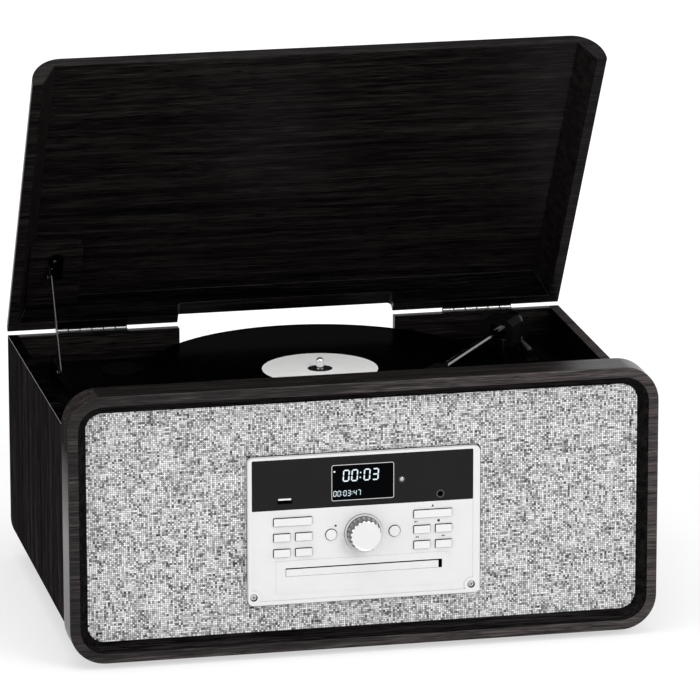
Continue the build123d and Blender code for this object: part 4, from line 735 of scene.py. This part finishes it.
# %% The layout tree
def layout_tree():
    tree = bpy.data.node_groups.new("lay_out_copies", "GeometryNodeTree")
    for name, way, kind in (("Points", "INPUT", "Geometry"), ("Shape", "INPUT", "Object"),
                            ("Finish", "INPUT", "Material"), ("Copies", "OUTPUT", "Geometry")):
        tree.interface.new_socket(name, in_out=way, socket_type="NodeSocket" + kind)

    def linked(kind, **sockets):
        node = tree.nodes.new(kind)
        for name, socket in sockets.items():
            tree.links.new(socket, node.inputs[name])
        return node.outputs

    def stored(name):
        node = tree.nodes.new("GeometryNodeInputNamedAttribute")
        node.data_type = "FLOAT_VECTOR"
        node.inputs["Name"].default_value = name
        return node.outputs["Attribute"]

    source = linked("NodeGroupInput")
    shape = linked("GeometryNodeObjectInfo", Object=source["Shape"])
    copies = linked("GeometryNodeInstanceOnPoints", Points=source["Points"], Instance=shape["Geometry"],
                    Rotation=stored("turn"), Scale=stored("stretch"))
    real = linked("GeometryNodeRealizeInstances", Geometry=copies["Instances"])
    paint = linked("GeometryNodeSetMaterial", Geometry=real["Geometry"], Material=source["Finish"])
    linked("NodeGroupOutput", Copies=paint["Geometry"])
    return tree


LAYOUT = layout_tree()


def laid_out(name, shape, places, finish, body):
    """One mesh of many copies. places holds (point in metres, turn in radians, stretch)."""
    mesh = bpy.data.meshes.new(name)
    mesh.from_pydata([place[0] for place in places], [], [])
    for column, attribute in ((1, "turn"), (2, "stretch")):
        values = mesh.attributes.new(attribute, "FLOAT_VECTOR", "POINT")
        values.data.foreach_set("vector", [v for place in places for v in place[column]])
    piece = bpy.data.objects.new(name, mesh)
    scene.collection.objects.link(piece)
    modifier = piece.modifiers.new("copies", "NODES")
    modifier.node_group = LAYOUT
    given = {"Shape": shape, "Finish": finishes[finish]}
    for item in LAYOUT.interface.items_tree:
        if item.name in given:
            modifier[item.identifier] = given[item.name]
    keep_modifiers(piece)
    for attribute in ("turn", "stretch"):
        if attribute in piece.data.attributes:
            piece.data.attributes.remove(piece.data.attributes[attribute])
    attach(piece, body)


print("layout tree with", len(LAYOUT.nodes), "nodes")

# %% [markdown]
# ### Cross-head screws
#
# A pan-head screw is a shallow dome with a cross sunk into it. It is drawn once, one millimetre in
# radius and facing up, and then laid out where the back, its plate and the stay are screwed on.

# %% Screws
HEAD = ((1.0, 0.0), (1.0, 0.12), (0.9, 0.3), (0.7, 0.42), (0.62, 0.44))      # each ring's radius and height
ARM, HALF, FLOOR, TAPER = 0.56, 0.13, 0.14, 0.8     # the cross: reach, half its width, floor, narrowing


def screw_shape():
    work = bmesh.new()
    loops = [[work.verts.new((radius * c, radius * s, height)) for c, s in circle(24)]
             for radius, height in HEAD]
    for lower, upper in zip(loops, loops[1:]):
        walls(work, lower, upper)
    top = HEAD[-1][1]
    corners = [(ARM, HALF), (HALF, HALF), (HALF, ARM), (-HALF, ARM), (-HALF, HALF), (-ARM, HALF),
               (-ARM, -HALF), (-HALF, -HALF), (-HALF, -ARM), (HALF, -ARM), (HALF, -HALF), (ARM, -HALF)]
    rim = [work.verts.new((x, y, top)) for x, y in corners]
    cross_floor = [work.verts.new((x * TAPER, y * TAPER, FLOOR)) for x, y in corners]
    walls(work, rim, cross_floor)
    work.faces.new(cross_floor)
    on_top = [e for e in work.edges if all(abs(v.co.z - top) < 1e-6 for v in e.verts)]
    open_edges = [e for e in on_top if len(e.link_faces) == 1]
    bmesh.ops.triangle_fill(work, edges=open_edges, use_beauty=True)
    work.faces.new(list(reversed(loops[0])))
    return pattern("screw_shape", work)


SCREW = screw_shape()
UP, BACK = (0.0, 0.0, 0.0), (-math.pi / 2, 0.0, 0.0)


def screws(radius_mm, turn, *points):
    return [(tuple(point), turn, (radius_mm * MM,) * 3) for point in points]


back_low, back_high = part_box("back_panel")
socket_low, socket_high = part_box("terminal_plate")
inset = 5 * MM
in_back = screws(2.4, BACK, *((x, socket_high.y, z) for x in (socket_low.x + inset, socket_high.x - inset)
                              for z in (socket_low.z + inset, socket_high.z - inset)))
in_back += screws(2.8, BACK, *((x, back_high.y, back_low.z + 7 * MM) for x in (-0.215, -0.072, 0.072, 0.215)))
in_back += screws(2.8, BACK, *((x, back_high.y, z) for x in (-0.228, 0.228) for z in (0.10, 0.18)))
laid_out("back_screws", SCREW, in_back, "black_metal", "cabinet")

track_low, track_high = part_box("stay_track")
track_floor = track_low.z + 1.5 * MM
in_track = screws(2.6, UP, *((track_high.x - 6 * MM, y, track_floor)
                             for y in (track_low.y + 12 * MM, track_high.y - 12 * MM)))
laid_out("track_screws", SCREW, in_track, "steel", "cabinet")

# The bracket leans with the lid, so its screws are set along its largest face towards the front.
bracket = dressed["stay_lid_bracket"].data
leaf = max((face for face in bracket.polygons if face.normal.y < 0), key=lambda face: face.area)
corners = [bracket.vertices[v].co for v in leaf.vertices]
upward = (max(corners, key=lambda v: v.z) - min(corners, key=lambda v: v.z)).normalized()
leaning = tuple(leaf.normal.to_track_quat("Z", "Y").to_euler())
in_bracket = screws(1.5, leaning, *(leaf.center + upward * reach for reach in (-12.5 * MM, -2.5 * MM)))
laid_out("bracket_screws", SCREW, in_bracket, "stay_steel", "lid")
print("screws placed:", len(in_back) + len(in_track) + len(in_bracket))

# %% [markdown]
# ## Record and label
#
# The label is a disc of white paper pressed into the vinyl, with a dark ring printed round the hole.

# %% Label
HOLE, INK, RIM = 3.7 * MM, 10.8 * MM, 50.0 * MM      # radii of the hole, the dark ring and the paper
PAPER = 0.12 * MM                                    # its thickness
record_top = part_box("record")[1].z


def flat_ring(name, inner, outer, finish):
    """A thin flat ring on the record, closed all round."""
    work = bmesh.new()
    outline = ((outer, 0), (outer, PAPER), (inner, PAPER), (inner, 0))
    loops = [[work.verts.new((spindle.x + radius * c, spindle.y + radius * s, record_top + height))
              for c, s in circle(128)] for radius, height in outline]
    for first, second in zip(loops, loops[1:] + loops[:1]):
        walls(work, first, second)
    finished(name, work, finish, "platter")


flat_ring("label", INK, RIM, "label_paper")
flat_ring("label_centre", HOLE, INK, "dark_mark")
print("label on the record at", round(record_top, 4))

# %% [markdown]
# ## Display
#
# The window shows the time in pale blue segments. One long six-sided segment is drawn once, one unit
# long, and the layout tree puts a copy on each lit segment of each digit.

# %% Display digits
def lit(name, color, strength):
    finish = Finish(name, (0.0, 0.0, 0.0), Roughness=0.4)
    x, y, z = finish.place()
    flicker = finish.noise(x * 2.0, 0.0, z * 2.0, detail=1.0)
    dim = tuple(c * 0.85 for c in color)
    finish.feed("Emission Color", finish.mix(finish.limit(flicker, 0.35, 0.65), (*dim, 1), (*color, 1)))
    finish.shader.inputs["Emission Strength"].default_value = strength
    finishes[name] = finish.material


lit("display_light", (0.78, 0.93, 1.0), 1.15)


END, SLIM = 0.5, 0.115       # half a segment's length and half its width
SEGMENT = prism("segment_shape", [(-END, 0), (-END + SLIM, SLIM), (END - SLIM, SLIM),
                                  (END, 0), (END - SLIM, -SLIM), (-END + SLIM, -SLIM)], 0.02)
SEGMENTS = {"0": "abcdef", "3": "abgcd", "4": "fgbc", "7": "abc"}      # the figures that are shown
PLACES = {"a": (0, 2, 0), "g": (0, 1, 0), "d": (0, 0, 0), "f": (-0.5, 1.5, 1), "b": (0.5, 1.5, 1),
          "e": (-0.5, 0.5, 1), "c": (0.5, 0.5, 1)}      # x and z in segments, and whether it stands
LEAN = 0.07                  # the figures' slant in radians
COLON_STEP = 0.72            # how much room a colon takes, in segments
window_at, window_y = middle_mm("display_module"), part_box("display_module")[0].y - 0.05 * MM
left_mm, low_mm = window_at[0] - 26.2, window_at[1] - 15.35      # the window's lower left corner


def digits(text, right_mm, up_mm, length_mm, pitch, bold):
    """Places for a line of figures, set off from the window's corner. length_mm is one segment's."""
    places = []
    x, z, length = (left_mm + right_mm) * MM, (low_mm + up_mm) * MM, length_mm * MM
    for figure in text:
        if figure == ":":
            for dz in (0.55, 1.45):
                at = (x + LEAN * dz * length, window_y, z + dz * length)
                places.append((at, (0, 0, 0), (0.24 * length, length, bold * 1.1 * length)))
            x += COLON_STEP * length
            continue
        for letter in SEGMENTS[figure]:
            dx, dz, upright = PLACES[letter]
            turn = (0, math.pi / 2 + LEAN, 0) if upright else (0, 0, 0)
            at = (x + (0.5 + dx + LEAN * dz) * length, window_y, z + dz * length)
            places.append((at, turn, (0.90 * length, length, bold * length)))
        x += pitch * length
    return places


figures = digits("00:03", 9.6, 16.5, 4.6, 1.56, 1.0) + digits("00:03:47", 1.4, 3.8, 2.2, 1.58, 0.95)
mark = [(((left_mm + 2.2) * MM, window_y, (low_mm + 25.0) * MM), (0, 0, 0), (1.6 * MM, 2.1 * MM, 6.0 * MM))]
laid_out("display_figures", SEGMENT, figures + mark, "display_light", "cabinet")
print("segments lit:", len(figures))

# %% [markdown]
# A thin bright frame is set round the window: four straight strips joined by round corners. The same
# helper makes the grey rings of the headphone socket and the sensor, with corners as large as the ring
# itself, and a narrow dark frame of painted shadow between the panel and the cloth.

# %% Thin frames
CORNER_SIDES = 8


def thin_frame(name, centre, width, height, corner, line, front, back, finish):
    """A closed frame of line millimetres round a rounded opening. Sizes in millimetres, facing -y."""
    work = bmesh.new()

    def loop(grow, y):
        points = []
        radius = corner + grow
        for quarter, (sx, sz) in enumerate(((1, 1), (-1, 1), (-1, -1), (1, -1))):
            for k in range(CORNER_SIDES + 1):
                angle = math.pi / 2 * (quarter + k / CORNER_SIDES)
                x = centre[0] + sx * (width / 2 - corner) + radius * math.cos(angle)
                z = centre[1] + sz * (height / 2 - corner) + radius * math.sin(angle)
                points.append(work.verts.new((x * MM, y * MM, z * MM)))
        return points

    loops = [loop(0, back), loop(0, front), loop(line, front), loop(line, back)]
    for first, second in zip(loops, loops[1:] + loops[:1]):
        walls(work, first, second)
    finished(name, work, finish, "cabinet")


def socket_ring(name, centre, hole, line, proud):
    """A grey ring round a hole in the dark strip of the panel."""
    thin_frame(name, centre, hole, hole, hole / 2, line, fascia_front - proud, fascia_front + 0.3,
               "ring_grey")


fascia_front, cloth_front = box_mm("display_fascia")[0].y, box_mm("grille_cloth")[0].y
panel_at = middle_mm("faceplate")
thin_frame("window_frame", window_at, 52.0, 30.0, 1.2, 0.55, fascia_front - 0.12, fascia_front + 0.6,
           "steel")
socket_ring("jack_ring", middle_mm("audio_jack"), 5.0, 0.9, 0.25)
# The dark frame round the panel is a painted shadow, set off to the right and downwards.
SHADOW_RIGHT, SHADOW_UP = 0.55, -0.15      # the gap shows a little more at the right and below
thin_frame("panel_gap", (panel_at[0] + SHADOW_RIGHT, panel_at[1] + SHADOW_UP), plate_high.x - plate_low.x,
           plate_high.z - plate_low.z, 4.0, 0.8, cloth_front - 0.05, cloth_front + 0.4, "slit_black")
print("window frame at", [round(v, 2) for v in window_at])

# %% [markdown]
# ### Socket tongue and sensor
#
# A USB socket holds a white plastic tongue under its upper edge. The remote control's sensor looks
# through a small lens in a grey ring; the lens is silver metal, a painted glint.

# %% Tongue and lens
SENSOR_RIGHT, LENS = 31.8, 1.9       # how far the sensor is right of the panel's middle; the lens's radius
TONGUE_HALF, DOME_RINGS = 5.5, 5     # half the tongue's width; the rings that the lens is drawn with


def plain_box(name, low, high, finish):
    work = bmesh.new()
    bmesh.ops.create_cube(work, size=1.0)
    for vert in work.verts:
        vert.co = Vector([(a + b) / 2 + c * (b - a) for a, b, c in zip(low, high, vert.co)]) * MM
    finished(name, work, finish, "cabinet")


def lens_dome(name, centre, radius, front, back, finish):
    work = bmesh.new()
    loops = []
    for k in range(DOME_RINGS):
        turn = math.pi / 2 * k / DOME_RINGS
        reach, y = radius * math.cos(turn), back + (front - back) * math.sin(turn)
        loops.append([work.verts.new(((centre[0] + reach * c) * MM, y * MM, (centre[1] + reach * s) * MM))
                      for c, s in circle(24)])
    for first, second in zip(loops, loops[1:]):
        walls(work, first, second)
    work.faces.new(loops[-1])
    work.faces.new(list(reversed(loops[0])))
    finished(name, work, finish, "cabinet", smooth=True)


usb_x, usb_z = middle_mm("usb_socket")
plain_box("usb_tongue", (usb_x - TONGUE_HALF, fascia_front + 0.7, usb_z + 0.4),
          (usb_x + TONGUE_HALF, fascia_front + 6.4, usb_z + 1.95), "tongue_white")
sensor = (panel_at[0] + SENSOR_RIGHT, window_at[1])
socket_ring("sensor_ring", sensor, 2 * LENS, 0.8, 0.15)
lens_dome("sensor_lens", sensor, LENS, fascia_front - 0.45, fascia_front + 0.35, "lens_silver")
print("sensor at", [round(v, 2) for v in sensor])

# %% [markdown]
# ## Marks on the panel
#
# Small plain signs tell the keys apart: triangles for play and skip, a square for stop, a dot by the
# round key. They are printed, so they are only a tenth of a millimetre thick.

# %% Printed signs
SQUARE = prism("square", [(-0.5, -0.5), (0.5, -0.5), (0.5, 0.5), (-0.5, 0.5)], 0.5)
TRIANGLE = prism("triangle", [(-0.5, -0.5), (0.5, 0.0), (-0.5, 0.5)], 0.5)
DOT = prism("dot", [(0.5 * c, 0.5 * s) for c, s in circle(16)], 0.5)
RIGHT, LEFT, UPWARD = 0.0, math.pi, -math.pi / 2
INK_THICK = 0.08 * MM
field_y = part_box("key_power")[0].y + 1.36 * MM      # the panel's field lies this far behind the keys' fronts


def sign(key, dx, width, height, turn=RIGHT, rise=2.4):
    """A sign dx beside the middle of a key and rise above its top, in millimetres."""
    x, z = middle_mm(key)[0] + dx, box_mm(key)[1].z + rise
    return (x * MM, field_y, z * MM), (0, turn, 0), (width * MM, INK_THICK, height * MM)


squares = [sign("key_right_1", -4.0, 0.5, 1.6), sign("key_right_2", -4.2, 2.0, 2.0)]
triangles = [sign("key_mode", 0.0, 2.0, 2.2, UPWARD), sign("key_right_1", -5.4, 1.6, 1.6),
             sign("key_right_3", -4.9, 1.5, 1.5, LEFT), sign("key_right_3", -3.4, 1.5, 1.5, LEFT),
             sign("key_right_4", -0.75, 1.5, 1.5), sign("key_right_4", 0.75, 1.5, 1.5)]
dots = [sign("round_key_left", 3.8, 1.8, 1.8, rise=1.8)]
for name, shape, places in (("stop_signs", SQUARE, squares), ("play_signs", TRIANGLE, triangles),
                            ("dot_signs", DOT, dots)):
    laid_out(name, shape, places, "dark_mark", "cabinet")
print("signs printed:", len(squares) + len(triangles) + len(dots))

# %% [markdown]
# ## Floor and light
#
# A pale floor and a white surround, as in a catalogue. The world is plain white to the camera and to
# glossy and clear surfaces, and softer for everything else. Three large lamps give the rest.

# %% Floor
floor_mesh = bpy.data.meshes.new("floor")
floor_mesh.from_pydata([(-12, -8, 0), (12, -8, 0), (12, 14, 0), (-12, 14, 0)], [], [(0, 1, 2, 3)])
floor = bpy.data.objects.new("floor", floor_mesh)
scene.collection.objects.link(floor)
floor_finish = Finish("floor_white", (0.90, 0.90, 0.90), Roughness=0.9, Specular_IOR_Level=0.0)
tree = floor_finish.tree
rays = floor_finish.node("ShaderNodeLightPath")
seen = rays.output("Is Camera Ray") + rays.output("Is Glossy Ray") + rays.output("Is Transmission Ray")
x, y, z = floor_finish.place()
far = floor_finish.limit((x * x + y * y).root(), 520.0, 900.0, 0.5, 1.0)
glow = tree.nodes.new("ShaderNodeEmission")
glow.inputs["Color"].default_value = (1, 1, 1, 1)
glow.inputs["Strength"].default_value = 1.15
blend = tree.nodes.new("ShaderNodeMixShader")
tree.links.new((seen.maths("MINIMUM", seen, 1.0) * far).socket, blend.inputs[0])
tree.links.new(floor_finish.shader.outputs[0], blend.inputs[1])
tree.links.new(glow.outputs[0], blend.inputs[2])
tree.links.new(blend.outputs[0], tree.nodes["Material Output"].inputs["Surface"])
floor_mesh.materials.append(floor_finish.material)
print("floor", [round(v, 1) for v in floor.dimensions])

# %% World and lamps
world = bpy.data.worlds.new("studio")
world.use_nodes = True
scene.world = world
world_tree = world.node_tree
path = world_tree.nodes.new("ShaderNodeLightPath")
camera_ray, glossy_ray, clear_ray = (Value(world_tree, path.outputs[f"Is {kind} Ray"])
                                     for kind in ("Camera", "Glossy", "Transmission"))
shown = camera_ray + glossy_ray + clear_ray
level = shown.maths("MINIMUM", shown, 1.0) * 0.42 + 0.58
world_tree.links.new(level.socket, world_tree.nodes["Background"].inputs["Strength"])
world_tree.nodes["Background"].inputs["Color"].default_value = (1, 1, 1, 1)


def lamp(name, place, aim, size, watts):
    data = bpy.data.lights.new(name, "AREA")
    data.shape = "SQUARE"
    data.size = size
    data.energy = watts
    light = bpy.data.objects.new(name, data)
    scene.collection.objects.link(light)
    light.location = place
    light.rotation_euler = (Vector(aim) - Vector(place)).to_track_quat("-Z", "Y").to_euler()
    return light


lamp("front_right", (1.6, -2.6, 1.9), (0, 0, 0.15), 1.4, 42)
lamp("top", (-0.2, -0.4, 2.8), (0, 0, 0.1), 2.0, 30)
lamp("left", (-2.6, -0.8, 0.9), (0, 0, 0.15), 1.4, 14)
scene.view_settings.view_transform = "Standard"

# %% [markdown]
